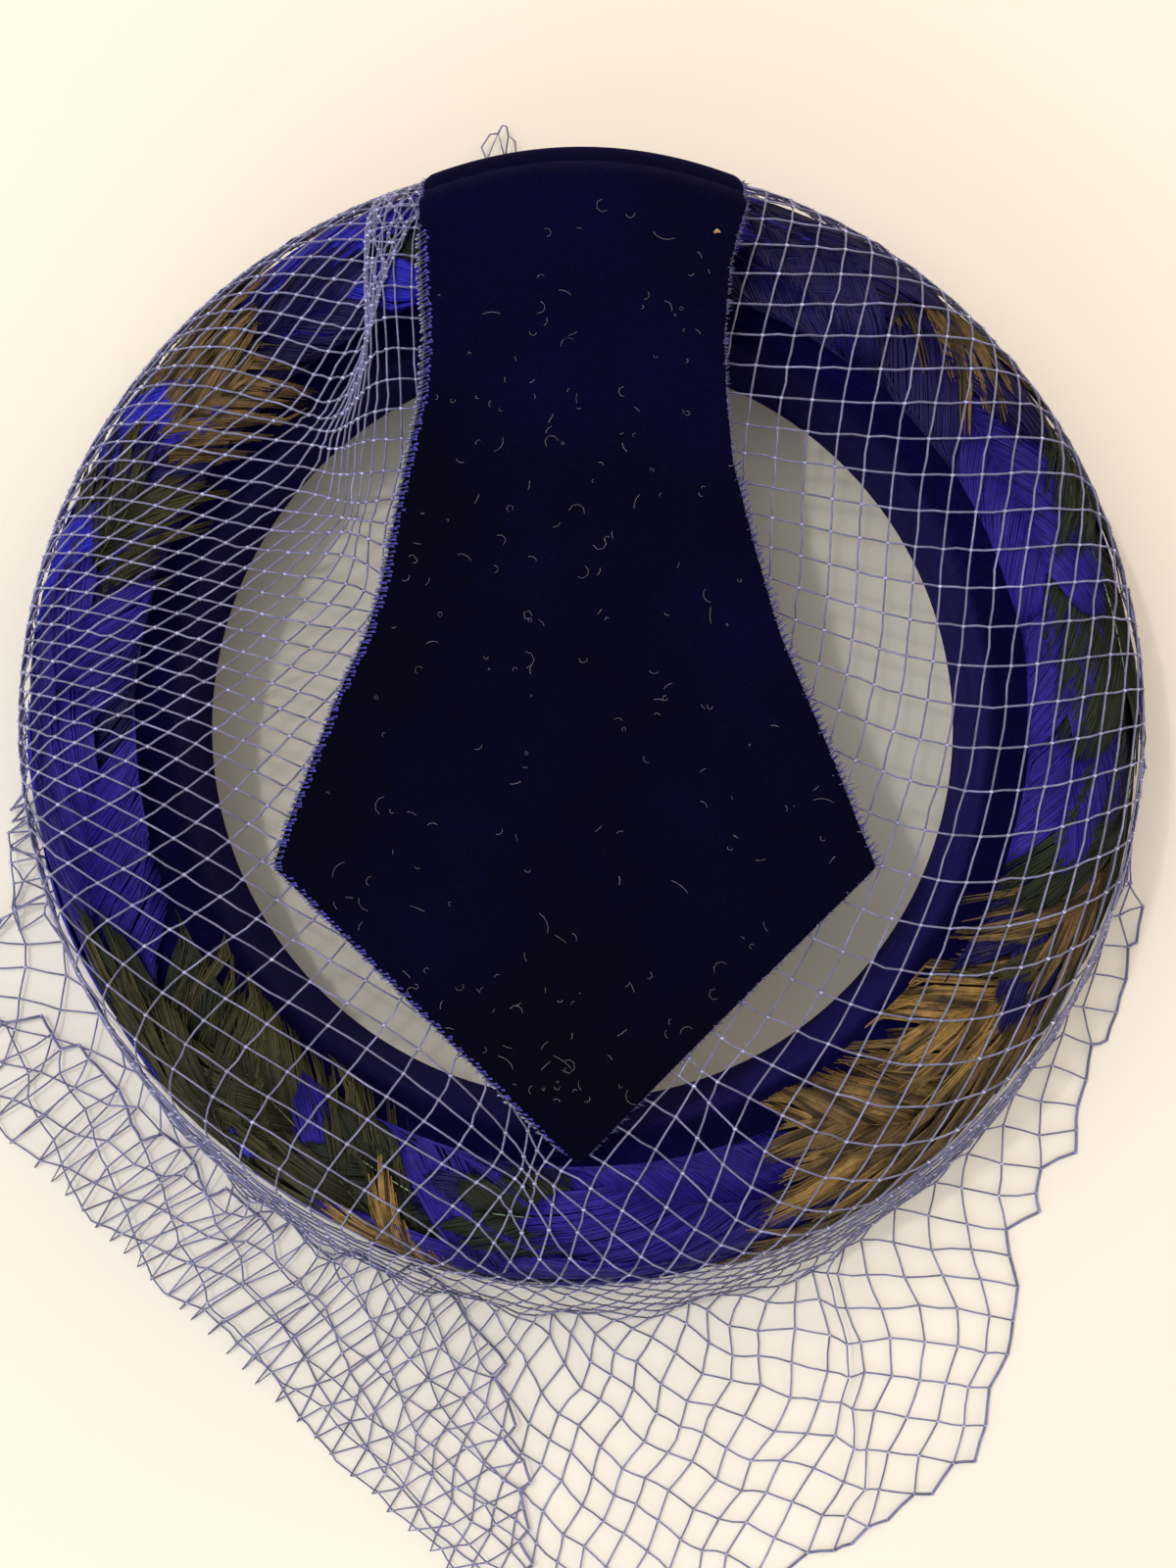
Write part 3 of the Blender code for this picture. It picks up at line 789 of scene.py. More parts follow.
@dataclass
class VelvetRing:
    """The hollow velvet-covered ring."""

    form: HatForm
    around: int = 300
    across: int = 90
    ripple: float = 0.00022

    def skin(self, lift: float) -> Array:
        """One side of the ring's wall, from the inner rim over the roll to the outer foot.

        Args:
            lift: how far it lies outside the velvet's surface, or inside where it is negative.

        Returns:
            Rows of radius, height and distance from the crest.
        """
        form, reach = self.form, self.form.roll_radius + lift
        rows = [[form.opening_radius - lift, 0.0, 0.0]]
        for turn in np.linspace(-math.pi / 2, 0, 12)[:-1]:
            radius = form.roll_centre + reach * math.sin(turn)
            height = form.roll_height + reach * math.cos(turn)
            rows.append([radius, height, 0.0])
        along = np.concatenate([np.linspace(0, form.roll_length, 14), [form.slope_length]])
        radius, height, out, rise = form.section(along)
        radius, height = radius + lift * out, height + lift * rise
        radius[-1] += height[-1] * math.tan(form.flare)
        height[-1] = 0.0
        return np.array(rows + np.stack([radius, height, along], axis=-1).tolist())

    def profile(self) -> Array:
        """The closed section of the ring's wall.

        Returns:
            Rows of the share of the way round it, the radius, the height and the distance from the crest.
        """
        loop = np.concatenate([self.skin(0.0), self.skin(-self.form.wall)[::-1]])
        loop = np.concatenate([loop, loop[:1]])
        steps = np.concatenate([[0], np.cumsum(np.linalg.norm(np.diff(loop[:, :2], axis=0), axis=1))])
        return np.column_stack([steps / steps[-1], loop])

    def place(self, round_share: Array, section_share: Array) -> Array:
        """Points on the ring's skin, with the cloth's faint ripples.

        Args:
            round_share: shares round the ring.
            section_share: shares round its section, the first half outside.

        Returns:
            Rows of x, y, z.
        """
        form, profile = self.form, self.profile()
        azimuth = 2 * math.pi * round_share
        radius, height, along = (np.interp(section_share, profile[:, 0], profile[:, k]) for k in (1, 2, 3))
        ripple = self.ripple * np.sin(7 * azimuth + 260 * height) * np.sin(13 * azimuth)
        ripple = ripple * smooth_step(height / 0.01)
        radius = radius + form.push(azimuth, along) - np.abs(ripple) * (section_share < 0.5)
        x, y = form.centre.x + radius * np.cos(azimuth), form.centre.y + radius * np.sin(azimuth)
        return np.stack([x, y, height], axis=-1)

    def build(self) -> bpy.types.Object:
        """Wrap a grid round the section and round the ring.

        Returns:
            The piece.
        """
        piece = wrapped_grid("ring_velvet_cover", self.around, self.across, self.place)
        deep, brushed, sheen = (0.0020, 0.0012, 0.030), (0.0036, 0.0022, 0.062), (0.10, 0.07, 0.80)
        velvet = Velvet("navy velvet", deep, brushed, sheen, 0.20)
        piece.data.materials.append(velvet.make())
        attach(piece, "root")
        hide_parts("velvet_ring")
        log.info("%s: wall %.1f mm", piece.name, self.form.wall * 1000)
        return piece


@dataclass(frozen=True)
class TabEdge:
    """How far the tab reaches to the left and right of the ring's middle, at one place along it."""

    ahead: float
    left: float
    right: float


@dataclass
class VelvetTab:
    """The double velvet tab: folded over the back of the ring, flared, and pointed in front."""

    form: HatForm
    thickness: float = 0.0024
    rest_height: float = 0.05408
    fold_rise: float = 0.0042
    fold_radius: float = 0.0055
    fold_ahead: float = 0.0826
    fold_end_deg: float = 106.0
    tail_low: float = 0.0122
    tail_out: float = 0.0902
    tail_kick: float = 0.0003
    tip_ahead: float = -0.0700
    settle_share: float = 0.30
    sag: float = 0.0016
    droop: float = 0.0036
    bow: float = 5.5
    fold_bow: float = 2.5
    wave: float = 0.0007
    curl: float = 0.0013
    rim: float = 0.0015
    rows: int = 260
    columns: int = 120
    edges: tuple[TabEdge, ...] = (
        TabEdge(0.1000, 0.0244, 0.0250),
        TabEdge(0.0850, 0.0250, 0.0256),
        TabEdge(0.0800, 0.0248, 0.0243),
        TabEdge(0.0740, 0.0247, 0.0229),
        TabEdge(0.0620, 0.0241, 0.0221),
        TabEdge(0.0530, 0.0247, 0.0224),
        TabEdge(0.0410, 0.0272, 0.0235),
        TabEdge(0.0280, 0.0297, 0.0266),
        TabEdge(0.0206, 0.0311, 0.0287),
        TabEdge(0.0130, 0.0336, 0.0310),
        TabEdge(0.0030, 0.0382, 0.0353),
        TabEdge(-0.0080, 0.0425, 0.0400),
        TabEdge(-0.0170, 0.0461, 0.0435),
        TabEdge(-0.0225, 0.0480, 0.0459),
        TabEdge(-0.0232, 0.0478, 0.0459),
        TabEdge(-0.0700, 0.0016, -0.0006),
    )
    tail_points: int = 12
    fold_points: int = 16
    loop_pitch: float = 0.00062
    loop_radius: float = 0.00017
    loop_bite: float = 0.0011
    loop_out: float = 0.00055
    tuft_pitch: float = 0.00105
    tuft_threads: int = 5
    fuzz: int = 2600
    lint: int = 210
    line: Array = field(init=False)
    length: float = field(init=False)
    steps: Array = field(init=False)
    fold_share: float = field(init=False)

    def __post_init__(self) -> None:
        """Lay out the middle line from the hidden end to the tip: how far back and how high it is."""
        low = np.linspace(self.tail_low, self.form.roll_height, self.tail_points)
        under = self.form.ring_height - low
        kick = self.tail_kick * (under / self.form.ring_height) ** 2
        tail = self.tail_out + under * math.tan(self.form.flare) + kick
        top = self.rest_height + self.fold_rise - self.fold_radius
        lean = math.atan2(tail[-1] - self.fold_ahead - self.fold_radius, top - low[-1])
        turns = np.linspace(lean, math.radians(self.fold_end_deg), self.fold_points)
        bend = np.stack([np.cos(turns), np.sin(turns)], 1)
        fold = np.array([self.fold_ahead, top]) + self.fold_radius * bend
        share = np.linspace(0, 1, 60)[1:]
        ahead = fold[-1, 0] + (self.tip_ahead - fold[-1, 0]) * share
        settle = (fold[-1, 1] - self.rest_height) * (1 - smooth_step(share / self.settle_share))
        height = self.rest_height + settle - self.sag * np.sin(math.pi * share)
        height = height - self.droop * smooth_step((share - 0.55) / 0.4)
        self.line = np.concatenate([np.stack([tail, low], 1), fold, np.stack([ahead, height], 1)])
        steps = np.concatenate([[0], np.cumsum(np.linalg.norm(np.diff(self.line, axis=0), axis=1))])
        self.length, self.steps = steps[-1], steps / steps[-1]
        self.fold_share = self.steps[self.tail_points + self.fold_points // 2]

    def width(self, ahead: Array, along: Array) -> tuple[Array, Array]:
        """How far the tab reaches to the left and to the right.

        Args:
            ahead: how far back of the ring's middle.
            along: shares of the tab's own length, so that the tail under the fold is known.

        Returns:
            Both distances.
        """
        place = np.where(along < self.fold_share, 0.1, ahead)
        backward = self.edges[::-1]
        left = np.interp(place, [edge.ahead for edge in backward], [edge.left for edge in backward])
        right = np.interp(place, [edge.ahead for edge in backward], [edge.right for edge in backward])
        return left, right

    def place(self, around: Array, along: Array) -> Array:
        """Points on the tab's skin.

        Args:
            around: shares round its section, 0 at the right edge and a half at the left one.
            along: shares of its length from the hidden end to the tip.

        Returns:
            Rows of x, y, z.
        """
        ahead, height = (np.interp(along, self.steps, self.line[:, k]) for k in (0, 1))
        further = np.clip(along + 0.004, 0, 1)
        before = np.clip(along - 0.004, 0, 1)
        way = np.stack([np.interp(further, self.steps, self.line[:, k]) for k in (0, 1)], -1)
        way = way - np.stack([np.interp(before, self.steps, self.line[:, k]) for k in (0, 1)], -1)
        way = way / np.linalg.norm(way, axis=-1, keepdims=True)
        left, right = self.width(ahead, along)
        half, middle = (left + right) / 2, (right - left) / 2
        turn = 2 * math.pi * around
        inward = half * (1 - np.abs(np.cos(turn)))
        rounding = np.sqrt(1 - (1 - np.clip(inward / self.rim, 0, 1)) ** 2)
        ends = np.sqrt(np.clip(along * self.length / self.rim, 0, 1)) * np.sqrt(np.clip(half / 0.003, 0, 1))
        ends = ends * np.clip((1 - along) * 400, 0, 1)
        lift = self.thickness / 2 * rounding * np.sign(np.sin(turn)) * ends
        x = middle + half * np.cos(turn)
        flat = smooth_step((along - self.fold_share) / self.settle_share)
        bow = (self.bow + self.fold_bow * smooth_step(along / self.fold_share)) * (1 - flat)
        wave = self.wave * flat * np.sin(62 * x + 0.6) * np.sin(41 * ahead - 0.4)
        curl = self.curl * flat * (np.abs(x) / np.maximum(half, 1e-5)) ** 3 * np.sin(34 * ahead + 0.9)
        y = ahead - bow * x**2 - lift * way[..., 1]
        z = height + lift * way[..., 0] * -1 + wave + curl
        return np.stack([self.form.centre.x + x, self.form.centre.y + y, z], -1)

    def share_at(self, ahead: Array) -> Array:
        """The share of the length at which the face is so far back of the ring's middle."""
        face = slice(self.tail_points + self.fold_points // 2, None)
        return np.interp(-np.asarray(ahead), -self.line[face, 0], self.steps[face])

    def edge_loops(self, random: np.random.Generator) -> Threads:
        """The bright overcast loops of the left edge.

        Args:
            random: where the draws come from.

        Returns:
            The loops.
        """
        along = np.arange(self.share_at(0.079), 0.992, self.loop_pitch / self.length)
        along = along + random.normal(0, 0.0004, len(along))
        # These draws are not used, but every later draw follows them
        random.uniform(-0.006, 0.010, len(along))
        left, right = self.place(along * 0 + 0.5, along), self.place(along * 0, along)
        wide = np.maximum(right[:, 0] - left[:, 0], 0.004)
        bite = self.loop_bite + random.uniform(-2e-4, 5e-4, len(along))
        reach = np.arccos(np.clip(1 - 2 * bite / wide, -1, 1)) / (2 * math.pi)
        above, edge, below = (self.place(0.5 + side * reach, along) for side in (-1, 0, 1))
        out = edge - (above + below) / 2
        out = out / np.maximum(np.linalg.norm(out, axis=1, keepdims=True), 1e-9)
        out[:, 1] += random.normal(0, 0.25, len(along))
        out = out * (self.loop_out + random.uniform(-1e-4, 4e-4, (len(along), 1)))
        up = np.array([0, 0, 0.0004])
        path = [above - up, above + up / 2 + out / 2, edge + out, below - up / 2 + out / 2, below + up]
        return Threads(np.stack(path, 1), self.loop_radius, 4, (0.040, 0.036, 0.42))

    def edge_tufts(self, random: np.random.Generator) -> Threads:
        """The dark blue tufts of the right edge.

        Args:
            random: where the draws come from.

        Returns:
            The tufts' threads.
        """
        along = np.arange(self.share_at(0.040), self.share_at(-0.0225), self.tuft_pitch / self.length)
        along = np.repeat(along, self.tuft_threads)
        along = along + random.normal(0, 0.0006, len(along))
        root = self.place(along * 0 + 0.008, along)
        way = np.array([0.78, 0.55, 0.15]) + random.normal(0, 0.16, (len(along), 3))
        size = random.uniform(0.0009, 0.0017, (len(along), 1))
        tufts = np.stack([root - way * size * 0.3, root + way * size * 0.5, root + way * size], 1)
        return Threads(tufts, (1.5e-4, 1.3e-4, 3e-5), 3, (0.014, 0.012, 0.16))

    def edge_fuzz(self, random: np.random.Generator) -> Threads:
        """The fine fuzz of both edges.

        Args:
            random: where the draws come from.

        Returns:
            The fibres.
        """
        along = random.uniform(0.16, 0.992, self.fuzz)
        side = random.choice([0.0, 0.5], self.fuzz)
        root = self.place(side + random.normal(0, 0.012, self.fuzz), along)
        outward = np.stack([np.where(side > 0, -1.0, 1.0), along * 0, along * 0 + 0.3], -1)
        away = outward + random.normal(0, 0.4, (self.fuzz, 3))
        size = random.uniform(0.0002, 0.0007, (self.fuzz, 1))
        fibres = np.stack([root, root + away * size * 0.6, root + away * size + [0, 0, 1e-4]], 1)
        return Threads(fibres, (7e-5, 6e-5, 2e-5), 3, (0.020, 0.018, 0.24))

    def build_pile(self) -> bpy.types.Object:
        """The overcast loops of the left edge, the tufts of the right one, and the fuzz of both.

        Returns:
            The joined piece.
        """
        random = np.random.default_rng(7)
        kinds = [self.edge_loops(random), self.edge_tufts(random), self.edge_fuzz(random)]
        return joined_tubes("tab_edge_pile", kinds, Plume("pile thread", 0.7, 0.6).make())

    def build_lint(self) -> bpy.types.Object:
        """The pale fibres that cling to the velvet, and one golden speck.

        Returns:
            The joined piece.
        """
        random = np.random.default_rng(11)
        along = self.share_at(random.uniform(-0.062, 0.078, self.lint))
        around = np.arccos(random.uniform(-0.92, 0.92, self.lint)) / (2 * math.pi)
        root = self.place(around, along)
        heading = random.uniform(0, 2 * math.pi, self.lint)
        curl = random.normal(0, 1.1, self.lint)
        size = random.uniform(0.0003, 0.0009, self.lint) * random.choice([1, 1, 1, 2.2], self.lint)
        points = [root + [0, 0, 1e-4]]
        for step in range(4):
            turn = heading + curl * (step - 1.5) * 0.6
            way = np.stack([np.cos(turn), np.sin(turn), turn * 0 + 0.05], -1)
            points.append(points[-1] + way * size[:, None] / 2)
        fibres = np.stack(points, 1)
        speck = self.place(np.array([0.08]), self.share_at(np.array([0.0775]))) + [0, 0, 3e-4]
        crumb = np.stack([speck + [-4e-4, 0, 0], speck + [0, 3e-4, 2e-4], speck + [5e-4, 1e-4, 0]], 1)
        kinds = [
            Threads(fibres, 2.8e-5, 3, (0.25, 0.25, 0.30)),
            Threads(crumb, (2e-4, 3.4e-4, 1.5e-4), 5, (0.55, 0.36, 0.08)),
        ]
        return joined_tubes("tab_lint", kinds, Plume("lint", 0.9, 0.2).make())

    def build(self) -> bpy.types.Object:
        """Wrap a grid round the tab's section and along its length, and dress its edges and face.

        Returns:
            The piece.
        """
        piece = wrapped_grid("tab_velvet_cover", self.columns, self.rows, self.place)
        deep, brushed, sheen = (0.0006, 0.0004, 0.0055), (0.0012, 0.0008, 0.021), (0.10, 0.07, 0.80)
        velvet = Velvet("midnight velvet", deep, brushed, sheen, 0.07, 15.0)
        piece.data.materials.append(velvet.make())
        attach(piece, "root")
        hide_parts("velvet_tab")
        pile, lint = self.build_pile(), self.build_lint()
        for trim in (pile, lint):
            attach(trim, "root")
            log.info("%s: %d triangles", trim.name, len(trim.data.polygons))
        along = np.linspace(0, 1, 400)
        left, right = self.width(np.interp(along, self.steps, self.line[:, 0]), along)
        return piece


@dataclass(frozen=True)
class EdgePoint:
    """How far from the ring's middle the spread net ends on the surface, in one direction."""

    azimuth_deg: float
    radius: float


@dataclass(frozen=True)
class Gather:
    """A place where the net is caught together over the hat, from the ring's middle."""

    across: float
    ahead: float
    spread: float
    pull: float


@dataclass
class NetVeil:
    """The veil: a knotted net of square meshes, laid over the hat, gathered and folded."""

    form: HatForm
    spacing: float = 0.00460
    open_spacing: float = 0.00620
    thread: float = 0.00038
    thread_colour: Colour = (0.185, 0.19, 0.39)
    # The knots are painted lighter than the threads: a painted highlight for the glints where the knots catch
    # the light.
    knot_highlight_colour: Colour = (0.40, 0.41, 0.68)
    turn_deg: float = -20.0
    top: float = 0.0502
    crest_lift: float = 0.0042
    slope_lift: float = 0.0052
    foot_side: float = 0.0004
    foot_front: float = 0.0060
    patch_turn: float = 1.00
    patch_reach: float = 1.35
    patch_share: float = 0.50
    patch_blend: float = 0.022
    sag: float = 0.0040
    steps: int = 14
    give: float = 1.08
    reach_cells: int = 48
    crowding: float = 0.20
    front_crowding: float = 0.22
    front_stretch: float = 0.20
    left_shear: float = 0.52
    left_squeeze: float = 0.36
    right_shear: float = 0.36
    tuck: float = 0.0050
    floor_band: float = 0.0080
    edge_draw: float = 0.75
    edge_slack: float = 0.0032
    sewn_from_deg: float = 344.0
    sewn_to_deg: float = 198.0
    hem_lift: float = 0.0006
    ruffle: float = 0.0008
    bunch_ruffle: float = 0.0022
    bunch_draw: float = 0.004
    bunch_rise: float = 0.0018
    pinch_spread: float = 0.0085
    pinch_pull: float = 0.62
    pinch_rise: float = 0.0035
    pinch_start: tuple[float, float] = (0.0440, -0.0905)
    pinch_end: tuple[float, float] = (0.0495, -0.1330)
    fold_start: tuple[float, float] = (-0.0965, -0.0800)
    fold_end: tuple[float, float] = (-0.0238, -0.1510)
    tuft_mm: tuple[tuple[tuple[float, float, float], ...], ...] = (
        ((-17.2, 94.5, 6.0), (-17.0, 101.0, 4.0), (-15.0, 106.0, 3.0), (-13.8, 101.5, 3.0)),
        ((-13.8, 101.5, 3.0), (-13.2, 105.6, 3.0), (-12.0, 104.6, 3.0), (-11.2, 94.5, 6.0)),
        ((-17.0, 101.0, 4.0), (-18.0, 103.5, 3.0), (-16.5, 105.8, 3.0), (-15.0, 106.0, 3.0)),
        ((-15.0, 106.0, 3.0), (-14.3, 107.4, 3.0), (-13.5, 107.2, 3.0), (-13.2, 105.6, 3.0)),
    )
    gathers: tuple[Gather, ...] = (
        Gather(-0.0083, -0.0712, 0.0150, 0.78),
        Gather(0.0185, -0.0560, 0.0110, 0.60),
        Gather(-0.0420, 0.0470, 0.0085, 0.50),
        Gather(-0.0360, 0.0320, 0.0085, 0.60),
        Gather(-0.0310, 0.0180, 0.0085, 0.50),
    )
    outline: tuple[EdgePoint, ...] = (
        EdgePoint(-18.0, 0.1060), EdgePoint(-30.0, 0.1090), EdgePoint(-38.0, 0.1160),
        EdgePoint(-49.0, 0.1205), EdgePoint(-53.0, 0.1300), EdgePoint(-59.0, 0.1400),
        EdgePoint(-61.0, 0.1475), EdgePoint(-67.0, 0.1520), EdgePoint(-76.0, 0.1555),
        EdgePoint(-92.0, 0.1610), EdgePoint(-98.0, 0.1670), EdgePoint(-108.5, 0.1720),
        EdgePoint(-117.0, 0.1695), EdgePoint(-120.6, 0.1595), EdgePoint(-128.0, 0.1465),
        EdgePoint(-136.7, 0.1450), EdgePoint(-147.0, 0.1500), EdgePoint(-153.0, 0.1370),
        EdgePoint(-157.0, 0.1290), EdgePoint(-163.0, 0.1220), EdgePoint(-170.0, 0.1165),
        EdgePoint(-177.0, 0.1110), EdgePoint(-184.0, 0.1060), EdgePoint(-210.0, 0.1000),
        EdgePoint(-270.0, 0.1000), EdgePoint(-330.0, 0.1000), EdgePoint(-350.0, 0.1000),
        EdgePoint(-378.0, 0.1060),
    )

    def foot(self, azimuth: Array) -> Array:
        """Where the net comes down to the surface, as a radius."""
        front = ((1 - np.sin(azimuth)) / 2) ** 6.5
        return self.form.foot_radius + self.slope_lift + self.foot_side + self.foot_front * front

    def hang(self, distance: Array, azimuth: Array) -> tuple[Array, Array, Array]:
        """Lay the flat net over the hat.

        Args:
            distance: how far each knot is from the middle of the flat net.
            azimuth: in which direction.

        Returns:
            Radius and height of each knot, and how far the net goes before its foot.
        """
        form, over = self.form, self.form.roll_radius + self.slope_lift
        bend = math.pi / 2 - form.flare
        start = form.roll_centre + over * math.cos(form.flare)
        high = form.roll_height + over * math.sin(form.flare)
        foot = self.foot(azimuth)
        side = np.hypot(foot - start, high)
        past = distance - form.roll_centre
        turn = np.clip(past / over, 0, bend)
        down = np.clip((past - over * bend) / side, 0, 1)
        floor = np.maximum(past - over * bend - side, 0)
        radius = np.minimum(distance, form.roll_centre) + over * np.sin(turn) + (foot - start) * down + floor
        height = form.roll_height + over * np.cos(turn) - high * down
        inside = np.clip(distance / form.roll_centre, 0, 1)
        height = height - self.sag * (1 - inside**2)
        return radius, np.maximum(height, self.hem_lift), form.roll_centre + over * bend + side

    def cell_grid(self) -> tuple[Array, Array]:
        """The knots of the flat net, counted in cells from the middle of the opening.

        Returns:
            In which direction each knot is laid, and how many cells away it is.
        """
        count = np.arange(-self.reach_cells, self.reach_cells + 1)
        column, row = (grid.ravel() for grid in np.meshgrid(count, count, indexing="ij"))
        turn = math.radians(self.turn_deg)
        x = column * math.cos(turn) - row * math.sin(turn)
        y = column * math.sin(turn) + row * math.cos(turn)
        x, y = self.sheared(x, y)
        azimuth, cells = np.arctan2(y, x), np.hypot(x, y)
        azimuth = azimuth + self.crowding * np.sin(azimuth)
        azimuth = azimuth - self.front_crowding * np.cos(azimuth) * smooth_step(-np.sin(azimuth))
        return azimuth, cells

    def spread_out(
        self, azimuth: Array, cells: Array, radius: Array, past: Array, cells_before: Array
    ) -> tuple[Array, Array]:
        """Where the knots lie seen from above; on the surface in front the net nearly keeps its square grid.

        Args:
            azimuth: in which direction each knot is laid.
            cells: how many cells away it is.
            radius: how far from the ring's middle it lies.
            past: how much of the net lies between its foot and the knot.
            cells_before: how many cells there are before its foot.

        Returns:
            How far to the right of the ring's middle and how far behind it each knot is.
        """
        across, ahead = radius * np.cos(azimuth), radius * np.sin(azimuth)
        front = azimuth + math.pi / 2
        front = np.arctan2(np.sin(front), np.cos(front))
        flat_foot = cells_before * self.open_spacing - self.foot(azimuth)
        blend = self.patch_share * smooth_step(past / self.patch_blend)
        blend = blend * smooth_step((self.patch_reach - np.abs(front)) / self.patch_turn)
        across = across + blend * (cells * self.open_spacing * np.sin(front) - across)
        ahead = ahead + blend * (flat_foot - cells * self.open_spacing * np.cos(front) - ahead)
        return across, ahead

    def threads(self, kept: Array) -> tuple[Array, Array]:
        """The threads between the kept knots, apart from those with no whole mesh beside them.

        Args:
            kept: which knots of the flat net are kept.

        Returns:
            Pairs of kept knots, and which of these threads have a mesh on one side only.
        """
        number = -np.ones(len(kept), int)
        number[kept] = np.arange(kept.sum())
        lookup = number.reshape(2 * self.reach_cells + 1, -1)
        there = lookup >= 0
        cell = np.pad(there[:-1, :-1] & there[1:, :-1] & there[:-1, 1:] & there[1:, 1:], 1)
        pairs, uses = [], []
        for first, second, one, two in (
            (lookup[:-1, :], lookup[1:, :], cell[1:-1, :-1], cell[1:-1, 1:]),
            (lookup[:, :-1], lookup[:, 1:], cell[:-1, 1:-1], cell[1:, 1:-1]),
        ):
            beside = one.astype(int) + two.astype(int)
            used = (beside > 0) & (first >= 0) & (second >= 0)
            pairs.append(np.stack([first[used], second[used]], -1))
            uses.append(beside[used])
        return np.concatenate(pairs), np.concatenate(uses) == 1

    def knots(self) -> tuple[Array, Array, Array, Array, Array]:
        """The net's knots and threads.

        Returns:
            The knots' places once hung, pairs of knots for the threads, which threads are at the free edge,
            which knots are sewn down, and how long each thread is.
        """
        azimuth, cells = self.cell_grid()
        mesh = self.spacing * (1 + self.front_stretch * bell(azimuth, -80.0, 38.0))
        before = self.hang(cells * 0, azimuth)[2]
        past = np.maximum(cells - before / mesh, 0) * self.open_spacing
        distance = np.minimum(cells * mesh, before) + past
        radius, height, _ = self.hang(distance, azimuth)
        across, ahead = self.spread_out(azimuth, cells, radius, past, before / mesh)

        # What is cut away: beyond the outline, and behind the hat beyond where it is tucked under the ring
        lies = np.degrees(np.arctan2(ahead, across))
        degrees = [point.azimuth_deg for point in self.outline][::-1]
        reach = np.interp(lies, degrees, [point.radius for point in self.outline][::-1], period=360)
        outside = np.hypot(across, ahead) - reach
        whole = before + reach - self.foot(azimuth)
        side = smooth_step((np.sin(azimuth) + 0.30) / 0.2)
        whole = whole + side * (before - self.tuck - whole)
        kept = (outside < self.edge_slack) & (distance < np.where(side < 1, 1.0, whole))
        pairs, at_edge = self.threads(kept)

        # Its rim: sewn to the ring behind and at the sides, drawn to the outline in front
        places = np.stack([across, ahead, height], -1)[kept]
        lies = lies[kept] % 360
        rim = np.zeros(len(places), bool)
        rim[pairs[at_edge].ravel()] = True
        sewn = rim & ((lies < self.sewn_to_deg) | (lies > self.sewn_from_deg))
        tucked, low, _ = self.hang(before[kept][sewn] - self.tuck, np.radians(lies[sewn]))
        places[sewn, :2] *= (tucked / np.hypot(*places[sewn, :2].T))[:, None]
        places[sewn, 2] = low
        free = rim & ~sewn & (places[:, 2] < 0.01)
        beyond = outside[kept][free] / np.hypot(*places[free, :2].T)
        places[free, :2] *= (1 - self.edge_draw * beyond)[:, None]
        self.pinch(places)
        self.crumple(places)
        rest = np.where(past[kept] > 0, self.open_spacing, mesh[kept])[pairs].mean(axis=1)
        return places, pairs, at_edge & ~(sewn[pairs].any(axis=1)), sewn, rest

    def sheared(self, x: Array, y: Array) -> tuple[Array, Array]:
        """Lean the meshes over, one way to the left of the tab and the other to its right, as in a loose net.

        Args:
            x: cells to the right of the middle.
            y: cells behind the middle.

        Returns:
            Both, moved.
        """
        left = smooth_step((-x - 1) / 15) * smooth_step((y + 24) / 14)
        right = smooth_step((x - 4) / 16)
        x = x + self.left_shear * left * (y - 2)
        y = y - self.left_squeeze * left * (y - 2)
        y = y + self.right_shear * right * (x - 8)
        return x + 0.35 * np.sin(0.31 * y + 0.2 * x), y + 0.35 * np.sin(0.27 * x - 0.15 * y)

    def crumple(self, places: Array) -> None:
        """Ruffle the knots on the surface a little, and crowd them where the net bunches at the left foot.

        Args:
            places: the knots, which are moved.
        """
        x, y = places[:, 0].copy(), places[:, 1].copy()
        radius, azimuth = np.hypot(x, y), np.arctan2(y, x)
        low = smooth_step((0.012 - places[:, 2]) / 0.01)
        from_bunch = (radius - self.foot(azimuth) - 0.004) / 0.010
        band = bell(azimuth, -138.0, 34.0) * np.exp(-(from_bunch**2)) * low
        ruffle = self.ruffle * low + self.bunch_ruffle * band
        places[:, 0] += ruffle * np.sin(230 * x + 310 * y) - self.bunch_draw * band * np.cos(azimuth)
        places[:, 1] += ruffle * np.sin(290 * x - 250 * y + 1) - self.bunch_draw * band * np.sin(azimuth)
        places[:, 2] += band * (self.bunch_ruffle + self.bunch_rise * np.sin(420 * x + 260 * y))
        places[:, 2] += self.ruffle / 2 * low * (1 + np.sin(120 * x - 90 * y))

    def pinch(self, places: Array) -> None:
        """Draw the knots beside one line on the surface together, into a standing fold.

        Args:
            places: the knots, which are moved.
        """
        start, end = np.array(self.pinch_start), np.array(self.pinch_end)
        way = (end - start) / np.linalg.norm(end - start)
        across = np.array([way[1], -way[0]])
        share = (places[:, :2] - start) @ way / np.linalg.norm(end - start)
        aside = (places[:, :2] - start) @ across
        near = np.exp(-((aside / self.pinch_spread) ** 2)) * (places[:, 2] < 0.01)
        near = near * smooth_step((share + 0.15) / 0.2) * smooth_step((1.5 - share) / 0.5)
        places[:, :2] -= np.outer(aside * near * self.pinch_pull, across)
        places[:, 2] += self.pinch_rise * near * np.exp(-((aside / 0.003) ** 2))

